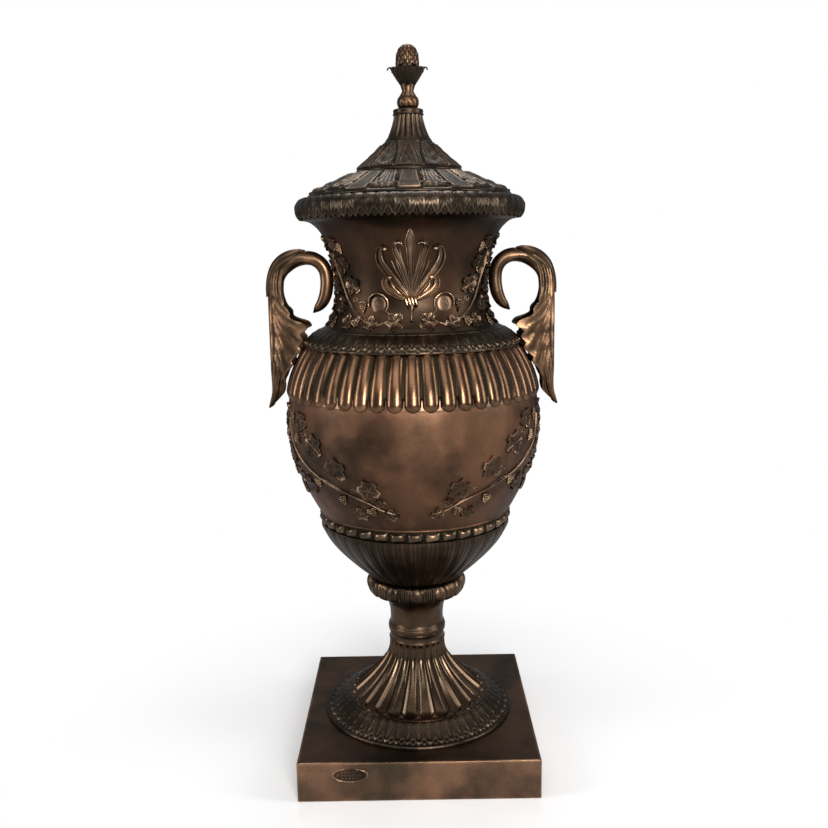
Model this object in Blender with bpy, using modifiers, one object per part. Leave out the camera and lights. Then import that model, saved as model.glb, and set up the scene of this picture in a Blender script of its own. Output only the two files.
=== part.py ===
"""Lidded bronze mantel urn on a square plinth.

Metres, +Z up. The origin is at the centre of the plinth's underside, the front faces -Y and the
two handles stand out along X. Every piece is a bronze casting: the plinth, the foot, the hollow
vessel, its two leaf handles, the lid that lifts off and the acorn finial on the lid.
"""
from math import cos, pi, radians, sin, sqrt, tau

import bmesh
import bpy
from mathutils import Matrix, Vector

MM = 0.001

# Fits and walls
FIT = 0.3 * MM
WALL = 3.0 * MM
SPIGOT_CLEARANCE = 1.0 * MM
RELIEF_EDGE = 0.3 * MM
RELIEF_SINK = 1.4 * MM
SLOPE_STEP = 0.5 * MM
WELD = 0.01 * MM

# Plinth, a hollow square box that is open below
PLINTH_SIDE = 250.0 * MM
PLINTH_HEIGHT = 42.8 * MM
PLINTH_WALL = 6.0 * MM
PLINTH_EDGE = 1.0 * MM
SEAL_WIDTH = 38.0 * MM
SEAL_HEIGHT = 15.4 * MM
SEAL_DEPTH = 0.7 * MM
SEAL_OFFSET = 68.6 * MM
SEAL_DROP = 13.7 * MM

# Foot, from its leaf flange up to its leaf collar
FLANGE_RADIUS = 105.0 * MM
FLANGE_EDGE = 3.2 * MM
FLANGE_RISE = 15.0 * MM
FLANGE_STEP = 2.0 * MM
FLANGE_VEIN = 1.2 * MM
FLANGE_LEAVES = 26
TRUMPET_RADIUS = 77.0 * MM
TRUMPET_HEIGHT = 52.0 * MM
FOOT_FLUTES = 26
FOOT_FLUTE_DEPTH = 2.4 * MM
STEM_RADIUS = 29.6 * MM
STEM_RING_STEP = 2.2 * MM
STEM_RING_HEIGHT = 34.0 * MM
STEM_HEIGHT = 34.0 * MM
COLLAR_RADIUS = 54.0 * MM
COLLAR_HEIGHT = 19.0 * MM
COLLAR_LOBES = 12
COLLAR_LOBE_DEPTH = 1.6 * MM

# Vessel, from the joint with the foot up to its mouth
BOWL_BASE_RADIUS = 47.5 * MM
BOWL_HEIGHT = 66.0 * MM
BOWL_FLUTES = 36
BOWL_FLUTE_DEPTH = 1.8 * MM
LEDGE_RADIUS = 103.5 * MM
LEDGE_HEIGHT = 13.0 * MM
LEDGE_GROOVE = 1.6 * MM
BELLY_RADIUS = 136.0 * MM
BELLY_RISE = 106.0 * MM
BELLY_BAND = 14.0 * MM
BELLY_BAND_EDGE = 1.0 * MM
GADROON_HEIGHT = 60.0 * MM
GADROONS = 48
GADROON_DEPTH = 3.4 * MM
SHOULDER_RADIUS = 113.0 * MM
SHOULDER_BAND = 16.5 * MM
SHOULDER_STEP = 1.6 * MM
NECK_BASE_RADIUS = 93.5 * MM
NECK_RADIUS = 79.4 * MM
NECK_FILLET = 36.0 * MM
NECK_HEIGHT = 98.0 * MM
NECK_TOP_RADIUS = 93.5 * MM
FLARE_HEIGHT = 13.5 * MM
FLARE_RADIUS = 109.5 * MM
RIM_HEIGHT = 21.5 * MM
RIM_RADIUS = 119.0 * MM
RIM_LEAVES = 56
RIM_TOP_RADIUS = 107.0 * MM
MOUTH_RADIUS = 98.0 * MM

# Relief on the vessel
VINE_LEAF = 21.0 * MM
VINE_LIFT = 2.6 * MM
BRANCH_WIDTH = 2.2 * MM
CLUSTER_LENGTH = 11.0 * MM
NECK_LEAF = 15.0 * MM
NECK_LIFT = 2.0 * MM
PALMETTE_RISE = 30.5 * MM
PALMETTE_LIFT = 2.4 * MM
PALMETTE_HEIGHT = 71.0 * MM
PALMETTE_PARTS = 71.0
KNOT_RADIUS = 6.5 * MM
SCROLL_RADIUS = 11.0 * MM
SCROLL_HALF_WIDTH = 1.4 * MM
SCROLL_REACH = 35.0 * MM
SCROLL_DROP = 3.0 * MM

# Handles
HANDLE_STAND = 14.0 * MM
HANDLE_TUBE = 7.0 * MM
HANDLE_TUBE_TURN = 0.2
HANDLE_LEAF_WALL = 3.0 * MM
HANDLE_LEAF_FOLD = 1.6 * MM
HANDLE_TUBE_INSET = 1.4 * MM
HANDLE_ARCH = 32.0 * MM
HANDLE_ARM_DROP = 44.0 * MM
HANDLE_ARM_LEAN = 3.0 * MM
HANDLE_CURL_DROP = 25.0 * MM
HANDLE_CURL_REACH = 14.5 * MM
HANDLE_LEAF_DROP = 114.0 * MM
HANDLE_LEAF_REACH = 44.0 * MM
HANDLE_LEAF_SPREAD = 24.0 * MM

# Lid
LID_RADIUS = 106.0 * MM
LID_EDGE = 3.2 * MM
LID_BAND_HEIGHT = 24.0 * MM
LID_LEAVES = 24
LID_LEAF_LIFT = 2.0 * MM
LID_LEAF_NOTCH = 1.5 * MM
LID_LEAF_INSET = 2.0 * MM
LID_LEDGE_STEP = 1.0 * MM
LID_LEDGE_DROP = 3.0 * MM
LID_LEDGE_RADIUS = 54.0 * MM
LID_UPPER_HEIGHT = 30.0 * MM
LID_UPPER_LEAVES = 12
LID_LOBE_DEPTH = 2.0 * MM
LID_NECK_RADIUS = 24.0 * MM
LID_NECK_HEIGHT = 23.0 * MM
LID_FLUTES = 18
LID_FLUTE_DEPTH = 1.0 * MM
LID_COLLAR_RADIUS = 15.4 * MM
LID_COLLAR_HEIGHT = 8.0 * MM
SPIGOT_DEPTH = 10.0 * MM

# Finial
FINIAL_BALL_RADIUS = 11.3 * MM
FINIAL_BALL_HEIGHT = 13.0 * MM
FINIAL_STEM_RADIUS = 6.1 * MM
FINIAL_STEM_HEIGHT = 12.0 * MM
FINIAL_CUP_RADIUS = 18.8 * MM
FINIAL_CUP_HEIGHT = 14.5 * MM
FINIAL_LEAVES = 6
ACORN_RADIUS = 11.7 * MM
ACORN_HEIGHT = 24.5 * MM
ACORN_SEAT = 1.0 * MM

# Sides of the plain turned zones and of the hidden inner walls
SIDES = 32
INNER_SIDES = 18

# Heights and reaches that follow from the sizes above
HANDLE_REACH = BELLY_RADIUS + HANDLE_STAND
FOOT_BASE = PLINTH_HEIGHT + FIT
TRUMPET_BASE = FOOT_BASE + FLANGE_EDGE + FLANGE_RISE
RINGS_BASE = TRUMPET_BASE + TRUMPET_HEIGHT
STEM_BASE = RINGS_BASE + STEM_RING_HEIGHT
COLLAR_BASE = STEM_BASE + STEM_HEIGHT
FOOT_TOP = COLLAR_BASE + COLLAR_HEIGHT
BODY_BASE = FOOT_TOP + FIT
LEDGE_BASE = BODY_BASE + BOWL_HEIGHT
BELLY_BASE = LEDGE_BASE + LEDGE_HEIGHT
BELLY_TOP = BELLY_BASE + BELLY_RISE
GADROON_BASE = BELLY_TOP + BELLY_BAND
SHOULDER_BASE = GADROON_BASE + GADROON_HEIGHT
NECK_BASE = SHOULDER_BASE + SHOULDER_BAND
NECK_TOP = NECK_BASE + NECK_HEIGHT
RIM_BASE = NECK_TOP + FLARE_HEIGHT
BODY_TOP = RIM_BASE + RIM_HEIGHT
LID_BASE = BODY_TOP + FIT
LID_LEDGE = LID_BASE + LID_EDGE + LID_BAND_HEIGHT
LID_NECK_BASE = LID_LEDGE + LID_UPPER_HEIGHT
LID_COLLAR_BASE = LID_NECK_BASE + LID_NECK_HEIGHT
LID_TOP = LID_COLLAR_BASE + LID_COLLAR_HEIGHT
FINIAL_BASE = LID_TOP + FIT


def mix(first, second, share):
    return first + (second - first) * share


# Scene, materials and collections

def clear_scene():
    for item in list(bpy.data.objects):
        bpy.data.objects.remove(item, do_unlink=True)


def new_collection(name):
    made = bpy.data.collections.new(name)
    bpy.context.scene.collection.children.link(made)
    return made


def bronze(name, color, roughness):
    material = bpy.data.materials.new(name)
    material.use_nodes = True
    shader = material.node_tree.nodes["Principled BSDF"]
    shader.inputs["Base Color"].default_value = (*color, 1.0)
    shader.inputs["Roughness"].default_value = roughness
    shader.inputs["Metallic"].default_value = 1.0
    return material


def add_object(name, bm, collection, material=None):
    bmesh.ops.recalc_face_normals(bm, faces=bm.faces)
    mesh = bpy.data.meshes.new(name)
    bm.to_mesh(mesh)
    bm.free()
    if material:
        mesh.materials.append(material)
        mesh.shade_smooth()
        mesh.set_sharp_from_angle(angle=radians(35))
    item = bpy.data.objects.new(name, mesh)
    collection.objects.link(item)
    return item


def hide_cutter(item):
    item.hide_render = True
    item.display_type = "WIRE"


def boolean(item, operation, other):
    step = item.modifiers.new(operation.title(), "BOOLEAN")
    step.operation = operation
    step.solver = "EXACT"
    step.object = other


# Rings and the skins between them. A ring is a list of (angle, radius, height).

def pole(height):
    return [(0.0, 0.0, height)]


def ring(radius, height, sides):
    """A plain ring, with the middle of a side at the front so that no relief lies on a corner."""
    return [(tau * (k + 0.5) / sides, radius, height) for k in range(sides)]


def lobed(radius, height, lobes, half_width, depth, turn=0.0):
    """A ring of rounded lobes: the valleys are a depth below the radius, the lobes reach it."""
    pitch = tau / lobes
    points = []
    for k in range(lobes):
        middle = pitch * (k + turn + 0.5)
        points.append((pitch * (k + turn), radius - depth, height))
        points.append((middle - half_width * pitch, radius, height))
        points.append((middle + half_width * pitch, radius, height))
    return points


def ridged(radius, height, ridges, depth, turn=0.0):
    """A ring whose points lie in turn in a groove and on a ridge."""
    pitch = tau / ridges
    points = []
    for k in range(ridges):
        points.append((pitch * (k + turn), radius - depth, height))
        points.append((pitch * (k + turn + 0.5), radius, height))
    return points


def tipped(notch, tip, leaves):
    """A ring along the edge of a leaf band: notch and tip are each a (radius, height)."""
    pitch = tau / leaves
    points = []
    for k in range(leaves):
        points.append((pitch * k, *notch))
        points.append((pitch * (k + 0.5), *tip))
    return points


def stitch(bm, first, second):
    """Joins two rings of vertices with triangles, stepping round the one that lags."""
    (angles_a, verts_a), (angles_b, verts_b) = first, second
    count_a, count_b = len(verts_a), len(verts_b)
    a = b = 0
    while a < count_a or b < count_b:
        next_a = angles_a[(a + 1) % count_a] + tau * ((a + 1) // count_a)
        next_b = angles_b[(b + 1) % count_b] + tau * ((b + 1) // count_b)
        here_a, here_b = verts_a[a % count_a], verts_b[b % count_b]
        if count_a > 1 and a < count_a and (b >= count_b or count_b == 1 or next_a <= next_b + 1e-9):
            a += 1
            bm.faces.new((here_a, here_b, verts_a[a % count_a]))
        elif count_b > 1 and b < count_b:
            b += 1
            bm.faces.new((here_a, here_b, verts_b[b % count_b]))
        else:
            break


def turned(name, rings, collection, material=None):
    """A closed turned body: each ring is joined to the next, and both ends are poles."""
    bm = bmesh.new()
    skins = []
    for points in rings:
        verts = [bm.verts.new((r * cos(a), r * sin(a), z)) for a, r, z in points]
        skins.append(([a for a, r, z in points], verts))
    for first, second in zip(skins, skins[1:]):
        stitch(bm, first, second)
    return add_object(name, bm, collection, material)


# Outline of the vessel, as a radius at each height

def bowl_radius(height):
    share = (height - BODY_BASE) / BOWL_HEIGHT
    return mix(BOWL_BASE_RADIUS, LEDGE_RADIUS, 1.0 - (1.0 - share) ** 1.5)


def belly_radius(height):
    share = (height - BELLY_BASE) / BELLY_RISE
    return mix(LEDGE_RADIUS, BELLY_RADIUS, 1.0 - (1.0 - share) ** 2)


def gadroon_radius(height):
    share = (height - GADROON_BASE) / GADROON_HEIGHT
    return mix(BELLY_RADIUS, SHOULDER_RADIUS, share ** 1.9)


def neck_radius(height):
    rise = height - NECK_BASE
    if rise < NECK_FILLET:
        return mix(NECK_BASE_RADIUS, NECK_RADIUS, 1.0 - (1.0 - rise / NECK_FILLET) ** 2.2)
    share = (rise - NECK_FILLET) / (NECK_HEIGHT - NECK_FILLET)
    return mix(NECK_RADIUS, NECK_TOP_RADIUS, share ** 2.1)


def body_radius(height):
    if height < LEDGE_BASE:
        return bowl_radius(height)
    if height < BELLY_BASE:
        return LEDGE_RADIUS
    if height < BELLY_TOP:
        return belly_radius(height)
    if height < GADROON_BASE:
        return BELLY_RADIUS
    if height < SHOULDER_BASE:
        return gadroon_radius(height)
    if height < NECK_BASE:
        return mix(SHOULDER_RADIUS, NECK_BASE_RADIUS, (height - SHOULDER_BASE) / SHOULDER_BAND)
    if height < NECK_TOP:
        return neck_radius(height)
    if height < RIM_BASE:
        return mix(NECK_TOP_RADIUS, FLARE_RADIUS, (height - NECK_TOP) / FLARE_HEIGHT)
    return FLARE_RADIUS


def body_slope(height):
    rise = body_radius(height + SLOPE_STEP) - body_radius(height - SLOPE_STEP)
    return rise / (2.0 * SLOPE_STEP)


def inner_radius(height, depth):
    """The inside of the wall, square to the outline, below grooves of the given depth."""
    return body_radius(height) - (WALL + depth) * sqrt(1.0 + body_slope(height) ** 2)


def belly_heights():
    heights = [BELLY_BASE + share * BELLY_RISE for share in (0.0, 0.22, 0.45, 0.7, 1.0)]
    return heights + [GADROON_BASE - BELLY_BAND_EDGE]


def neck_heights():
    return [NECK_BASE + share * NECK_HEIGHT for share in (0.0, 0.12, 0.34, 0.72, 0.995)]


def skin_radius(azimuth, height):
    """Radius of the flat-sided belly or neck at a place, where an azimuth of 0 is the front."""
    rows = neck_heights() if height > SHOULDER_BASE else belly_heights()
    radius = body_radius(height)
    for low, high in zip(rows, rows[1:]):
        if low <= height <= high:
            radius = mix(body_radius(low), body_radius(high), (height - low) / (high - low))
    side = tau / SIDES
    return radius * cos(0.5 * side) / cos((azimuth + 0.5 * side) % side - 0.5 * side)


# Relief that lies on the vessel. u runs round the vessel and v runs up its outline.

def on_vessel(azimuth, height, u, v, lift):
    slope = body_slope(height)
    length = sqrt(1.0 + slope * slope)
    z = height + v / length
    angle = azimuth + u / body_radius(z)
    radius = skin_radius(angle, z) + lift / length
    return Vector((radius * sin(angle), -radius * cos(angle), z - lift * slope / length))


def mound(bm, azimuth, height, outline, lift, middle=(0.0, 0.0)):
    """A low pointed mound on the vessel: a sunk outline that rises to its middle."""
    edge = [bm.verts.new(on_vessel(azimuth, height, u, v, -RELIEF_EDGE)) for u, v in outline]
    top = bm.verts.new(on_vessel(azimuth, height, *middle, lift))
    bottom = bm.verts.new(on_vessel(azimuth, height, *middle, -RELIEF_SINK))
    count = len(outline)
    for k in range(count):
        n = (k + 1) % count
        bm.faces.new((edge[k], edge[n], top))
        bm.faces.new((edge[n], edge[k], bottom))


def ridge(bm, places, halves, lift):
    """A ridge through places on the vessel, each (azimuth, height), sunk along both edges."""
    rows = []
    last = len(places) - 1
    for k, (azimuth, height) in enumerate(places):
        before, after = places[max(k - 1, 0)], places[min(k + 1, last)]
        rise = sqrt(1.0 + body_slope(height) ** 2)
        along = Vector(((after[0] - before[0]) * body_radius(height), (after[1] - before[1]) * rise))
        side = Vector((along.y, -along.x)).normalized() * halves[k]
        rows.append([
            bm.verts.new(on_vessel(azimuth, height, -side.x, -side.y, -RELIEF_EDGE)),
            bm.verts.new(on_vessel(azimuth, height, 0.0, 0.0, lift)),
            bm.verts.new(on_vessel(azimuth, height, side.x, side.y, -RELIEF_EDGE)),
            bm.verts.new(on_vessel(azimuth, height, 0.0, 0.0, -RELIEF_SINK)),
        ])
    for first, second in zip(rows, rows[1:]):
        for k in range(4):
            n = (k + 1) % 4
            bm.faces.new((first[k], first[n], second[n], second[k]))
    bm.faces.new(list(reversed(rows[0])))
    bm.faces.new(rows[-1])


def vine_leaf(bm, azimuth, height, size, turn, lift):
    """A lobed vine leaf: long and short reaches in turn round the leaf's middle."""
    reaches = (1.0, 0.58, 0.95, 0.56, 0.6, 0.56, 0.95, 0.58)
    outline = []
    for k, reach in enumerate(reaches):
        angle = turn + tau * k / len(reaches)
        outline.append((0.5 * size * reach * sin(angle), 0.5 * size * reach * cos(angle)))
    mound(bm, azimuth, height, outline, lift)


def cluster(bm, azimuth, height, size, turn):
    """A bunch of grapes as one tapering lump with its point downwards."""
    shape = ((0.0, 0.6), (0.42, 0.35), (0.3, -0.2), (0.0, -0.7), (-0.3, -0.2), (-0.42, 0.35))
    outline = []
    for u, v in shape:
        outline.append((size * (u * cos(turn) + v * sin(turn)), size * (v * cos(turn) - u * sin(turn))))
    mound(bm, azimuth, height, outline, 1.3 * VINE_LIFT)


def belly_height(share):
    return mix(BELLY_BASE, GADROON_BASE, share)


# Each vine leaves the bottom of the plain panel and climbs to a handle. A row starts with an
# angle from the face's middle in degrees and a share of the belly's height or the neck's.
BRANCH_PATH = ((9.0, 0.165), (20.0, 0.2), (42.0, 0.365), (58.0, 0.52), (66.0, 0.7), (71.0, 0.92))
BELLY_LEAVES = ((14.0, 0.33, 1.0, 0.3), (27.0, 0.48, 1.1, 0.5), (40.0, 0.6, 1.1, 0.6), (51.0, 0.8, 1.1, 0.9),
                (34.0, 0.12, 0.9, 2.6), (60.0, 0.29, 1.0, 2.0))
BELLY_CLUSTERS = ((22.5, 0.11, 0.9), (46.0, 0.2, 0.7), (70.0, 0.42, 0.5))
SIDE_LEAVES = (0.32, 0.6, 0.88)
NECK_LEAVES = ((13.0, 0.13, 2.0), (50.0, 0.2, 2.6), (52.0, 0.62, 0.8), (67.0, 0.4, 1.9))

# The palmette's members on one side, each as (u, v, half width) from its knot, in parts of its height
OUTER_PETAL = ((5.0, 6.0, 1.5), (17.0, 22.0, 2.0), (29.0, 36.0, 2.4), (33.0, 47.0, 2.2), (28.0, 53.0, 2.0),
               (23.5, 48.5, 2.0))
LOWER_VOLUTE = ((4.0, 0.5, 1.2), (17.5, 9.3, 1.8), (26.5, 16.5, 2.4), (24.5, 24.0, 2.0), (18.5, 22.5, 1.6))
CENTRAL_LEAF = ((0.0, 12.0, 0.8), (0.0, 33.0, 4.0), (0.0, 40.0, 4.8), (0.0, 56.0, 6.4), (0.0, 64.0, 3.6),
                (0.0, 71.0, 0.4))


def quadrants():
    """The four quarters of the vessel: the middle angle of the face and the way angles grow."""
    for face in (0.0, pi):
        for way in (1.0, -1.0):
            yield face, way


def branches(bm):
    for face, way in quadrants():
        places = [(face + way * radians(degrees), belly_height(share)) for degrees, share in BRANCH_PATH]
        ridge(bm, places, [BRANCH_WIDTH] * len(places), 0.9 * VINE_LIFT)


def foliage(bm):
    """Leaves and grapes on the front, and every third one on the plainer back."""
    for face, way in quadrants():
        step = 1 if face == 0.0 else 3
        for degrees, share, scale, turn in BELLY_LEAVES[::step]:
            azimuth = face + way * radians(degrees)
            vine_leaf(bm, azimuth, belly_height(share), VINE_LEAF * scale, way * turn, VINE_LIFT)
        for degrees, share, turn in BELLY_CLUSTERS[::step]:
            azimuth = face + way * radians(degrees)
            cluster(bm, azimuth, belly_height(share), CLUSTER_LENGTH, way * turn)
        for degrees, share, turn in NECK_LEAVES[::step]:
            azimuth = face + way * radians(degrees)
            height = NECK_BASE + share * NECK_HEIGHT
            vine_leaf(bm, azimuth, height, NECK_LEAF, way * turn, NECK_LIFT)
    for side in (0.5 * pi, -0.5 * pi):
        for share in SIDE_LEAVES:
            vine_leaf(bm, side, belly_height(share), VINE_LEAF, 0.0, VINE_LIFT)


def member(bm, base, rows, way):
    part = PALMETTE_HEIGHT / PALMETTE_PARTS
    places = [(way * u * part / NECK_RADIUS, base + v * part) for u, v, half in rows]
    ridge(bm, places, [half * part for u, v, half in rows], PALMETTE_LIFT)


def petals(bm):
    """The palmette's outer petals, on the front of the neck, and the two scrolls below them."""
    base = NECK_BASE + PALMETTE_RISE
    for way in (1.0, -1.0):
        member(bm, base, OUTER_PETAL, way)
        spiral = []
        for k in range(8):
            angle = 0.25 * tau + 0.9 * tau * k / 7
            reach = SCROLL_RADIUS * mix(1.0, 0.4, k / 7)
            u = SCROLL_REACH + reach * cos(angle)
            spiral.append((way * u / NECK_RADIUS, base - SCROLL_DROP - reach * sin(angle)))
        ridge(bm, spiral, [SCROLL_HALF_WIDTH] * len(spiral), PALMETTE_LIFT)


def volutes(bm):
    """The lower petals with the pointed leaf between them."""
    base = NECK_BASE + PALMETTE_RISE
    for way in (1.0, -1.0):
        member(bm, base, LOWER_VOLUTE, way)
    member(bm, base, CENTRAL_LEAF, 1.0)


def knot(bm):
    outline = [(KNOT_RADIUS * sin(tau * k / 6), KNOT_RADIUS * cos(tau * k / 6)) for k in range(6)]
    mound(bm, 0.0, NECK_BASE + PALMETTE_RISE, outline, 2.0 * PALMETTE_LIFT)


# Pieces

def make_plinth(parts, cutters, material):
    bpy.ops.mesh.primitive_cube_add(size=1.0, location=(0.0, 0.0, 0.5 * PLINTH_HEIGHT))
    plinth = bpy.context.object
    plinth.name = "plinth"
    plinth.scale = (PLINTH_SIDE, PLINTH_SIDE, PLINTH_HEIGHT)
    bpy.ops.object.transform_apply(location=True, rotation=False, scale=True)
    plinth.data.materials.append(material)
    edge = plinth.modifiers.new("Edge", "BEVEL")
    edge.width = PLINTH_EDGE
    edge.segments = 1

    inside = PLINTH_SIDE - 2.0 * PLINTH_WALL
    hollow_height = PLINTH_HEIGHT - PLINTH_WALL
    bpy.ops.mesh.primitive_cube_add(size=1.0, location=(0.0, 0.0, 0.5 * hollow_height - PLINTH_WALL))
    hollow = bpy.context.object
    hollow.name = "plinth_hollow"
    hollow.scale = (inside, inside, hollow_height + 2.0 * PLINTH_WALL)
    bpy.ops.object.transform_apply(location=True, rotation=False, scale=True)

    front = -0.5 * PLINTH_SIDE
    bpy.ops.mesh.primitive_cylinder_add(vertices=24, radius=0.5, depth=2.0 * SEAL_DEPTH)
    seal = bpy.context.object
    seal.name = "seal_recess"
    seal.scale = (SEAL_WIDTH, SEAL_HEIGHT, 1.0)
    seal.rotation_euler = (0.5 * pi, 0.0, 0.0)
    seal.location = (-SEAL_OFFSET, front, PLINTH_HEIGHT - SEAL_DROP)
    bpy.ops.object.transform_apply(location=True, rotation=True, scale=True)

    for item, home in ((plinth, parts), (hollow, cutters), (seal, cutters)):
        for old in list(item.users_collection):
            old.objects.unlink(item)
        home.objects.link(item)
    hide_cutter(hollow)
    hide_cutter(seal)
    boolean(plinth, "DIFFERENCE", hollow)
    boolean(plinth, "DIFFERENCE", seal)


def trumpet_radius(share):
    return mix(STEM_RADIUS + STEM_RING_STEP, TRUMPET_RADIUS, (1.0 - share) ** 1.5)


def make_foot(parts, material):
    ring_top = STEM_RADIUS + STEM_RING_STEP
    rings = [pole(FOOT_TOP)]
    rings.append(ring(0.9 * COLLAR_RADIUS, FOOT_TOP, INNER_SIDES))
    for share, reach, depth in ((0.82, 1.0, 0.6), (0.45, 0.985, 1.0), (0.06, 0.88, 0.6)):
        height = COLLAR_BASE + share * COLLAR_HEIGHT
        rings.append(lobed(reach * COLLAR_RADIUS, height, COLLAR_LOBES, 0.3, depth * COLLAR_LOBE_DEPTH))
    for share in (0.94, 0.72, 0.45, 0.0):
        radius = mix(STEM_RADIUS, 0.82 * COLLAR_RADIUS, share ** 3.2)
        rings.append(ring(radius, STEM_BASE + share * STEM_HEIGHT, INNER_SIDES))
    waist = STEM_RADIUS + 0.2 * STEM_RING_STEP
    for share, radius in ((0.86, ring_top), (0.7, ring_top), (0.6, waist), (0.08, ring_top)):
        rings.append(ring(radius, RINGS_BASE + share * STEM_RING_HEIGHT, INNER_SIDES))
    for share, depth in ((0.9, 0.5), (0.45, 0.8), (0.08, 1.0)):
        height = TRUMPET_BASE + share * TRUMPET_HEIGHT
        rings.append(ridged(trumpet_radius(share), height, FOOT_FLUTES, depth * FOOT_FLUTE_DEPTH))
    step = FOOT_BASE + FLANGE_EDGE
    rings.append(ridged(TRUMPET_RADIUS + FLANGE_STEP, TRUMPET_BASE - 0.3 * FLANGE_STEP, FLANGE_LEAVES,
                        0.25 * FLANGE_VEIN))
    rings.append(ridged(0.5 * (TRUMPET_RADIUS + FLANGE_RADIUS + FLANGE_STEP), step + 0.6 * FLANGE_RISE,
                        FLANGE_LEAVES, FLANGE_VEIN))
    notch = (FLANGE_RADIUS - 2.0 * FLANGE_STEP, step + 0.7 * FLANGE_STEP)
    tip = (FLANGE_RADIUS - 0.7 * FLANGE_STEP, step + 0.8 * FLANGE_STEP)
    rings.append(tipped(notch, tip, FLANGE_LEAVES))
    rings.append(ring(FLANGE_RADIUS, step, SIDES))
    rings.append(ring(FLANGE_RADIUS, FOOT_BASE, SIDES))
    rings.append(ring(FLANGE_RADIUS - WALL, FOOT_BASE, INNER_SIDES))
    thin = WALL + FOOT_FLUTE_DEPTH
    for share in (0.0, 0.4):
        radius = trumpet_radius(share) - 1.7 * thin
        rings.append(ring(radius, TRUMPET_BASE + share * TRUMPET_HEIGHT - 0.6 * thin, INNER_SIDES))
    rings.append(ring(STEM_RADIUS - 1.6 * WALL, RINGS_BASE, INNER_SIDES))
    rings.append(ring(STEM_RADIUS - 1.6 * WALL, COLLAR_BASE, INNER_SIDES))
    rings.append(pole(COLLAR_BASE))
    turned("foot", rings, parts, material)


def make_body(parts, cutters, material):
    rings = [pole(BODY_BASE)]
    rings.append(ring(BOWL_BASE_RADIUS, BODY_BASE, SIDES))
    for share, depth in ((0.09, 0.4), (0.5, 0.8), (0.97, 1.4)):
        height = BODY_BASE + share * BOWL_HEIGHT
        rings.append(ridged(bowl_radius(height), height, BOWL_FLUTES, depth * BOWL_FLUTE_DEPTH))
    rings.append(ring(LEDGE_RADIUS - LEDGE_GROOVE, LEDGE_BASE, SIDES))
    rings.append(ring(LEDGE_RADIUS, LEDGE_BASE + 0.3 * LEDGE_HEIGHT, SIDES))
    rings.append(ring(LEDGE_RADIUS - 0.3 * LEDGE_GROOVE, LEDGE_BASE + 0.7 * LEDGE_HEIGHT, SIDES))
    for height in belly_heights():
        rings.append(ring(body_radius(height), height, SIDES))
    for share, half_width, depth in ((0.03, 0.0, 0.3), (0.15, 0.37, 1.0), (0.55, 0.0, 1.0), (0.97, 0.0, 0.5)):
        height = GADROON_BASE + share * GADROON_HEIGHT
        radius = gadroon_radius(height)
        if half_width:
            rings.append(lobed(radius, height, GADROONS, half_width, depth * GADROON_DEPTH, 0.5))
        else:
            rings.append(ridged(radius, height, GADROONS, depth * GADROON_DEPTH, 0.5))
    rings.append(ring(SHOULDER_RADIUS - SHOULDER_STEP, SHOULDER_BASE, SIDES))
    rings.append(ring(SHOULDER_RADIUS, SHOULDER_BASE + SHOULDER_STEP, SIDES))
    rings.append(ring(NECK_BASE_RADIUS + SHOULDER_STEP, NECK_BASE - SHOULDER_STEP, SIDES))
    for height in neck_heights():
        rings.append(ring(neck_radius(height), height, SIDES))
    rings.append(ring(mix(NECK_TOP_RADIUS, FLARE_RADIUS, 0.6), NECK_TOP + 0.4 * FLARE_HEIGHT, SIDES))
    rings.append(ring(FLARE_RADIUS, RIM_BASE, RIM_LEAVES))
    tip_height, notch_height = RIM_BASE + 0.06 * RIM_HEIGHT, RIM_BASE + 0.34 * RIM_HEIGHT
    tip, notch = mix(FLARE_RADIUS, RIM_RADIUS, 0.5), mix(FLARE_RADIUS, RIM_RADIUS, 0.9)
    rings.append(tipped((notch, notch_height), (tip, tip_height), RIM_LEAVES))
    rings.append(ring(RIM_RADIUS, RIM_BASE + 0.56 * RIM_HEIGHT, SIDES))
    rings.append(ring(mix(RIM_TOP_RADIUS, RIM_RADIUS, 0.5), RIM_BASE + 0.88 * RIM_HEIGHT, SIDES))
    rings.append(ring(RIM_TOP_RADIUS, BODY_TOP, SIDES))
    rings.append(ring(MOUTH_RADIUS, BODY_TOP, INNER_SIDES))
    rings.append(ring(MOUTH_RADIUS, RIM_BASE, INNER_SIDES))
    for height in reversed(neck_heights()):
        rings.append(ring(inner_radius(height, 0.0), height, INNER_SIDES))
    for height, depth in ((SHOULDER_BASE, SHOULDER_STEP), (GADROON_BASE + 0.5 * GADROON_HEIGHT, GADROON_DEPTH),
                          (GADROON_BASE + 0.05 * GADROON_HEIGHT, GADROON_DEPTH),
                          (BELLY_BASE + 0.6 * BELLY_RISE, 0.0), (BELLY_BASE, 0.5 * LEDGE_GROOVE),
                          (BODY_BASE + 0.62 * BOWL_HEIGHT, BOWL_FLUTE_DEPTH),
                          (BODY_BASE + 0.16 * BOWL_HEIGHT, BOWL_FLUTE_DEPTH)):
        rings.append(ring(inner_radius(height, depth), height, INNER_SIDES))
    rings.append(pole(BODY_BASE + 0.16 * BOWL_HEIGHT))
    body = turned("body", rings, parts, material)

    for maker in (petals, volutes, knot, branches, foliage):
        bm = bmesh.new()
        maker(bm)
        relief = add_object("relief_" + maker.__name__, bm, cutters)
        hide_cutter(relief)
        boolean(body, "UNION", relief)
    return body


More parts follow.
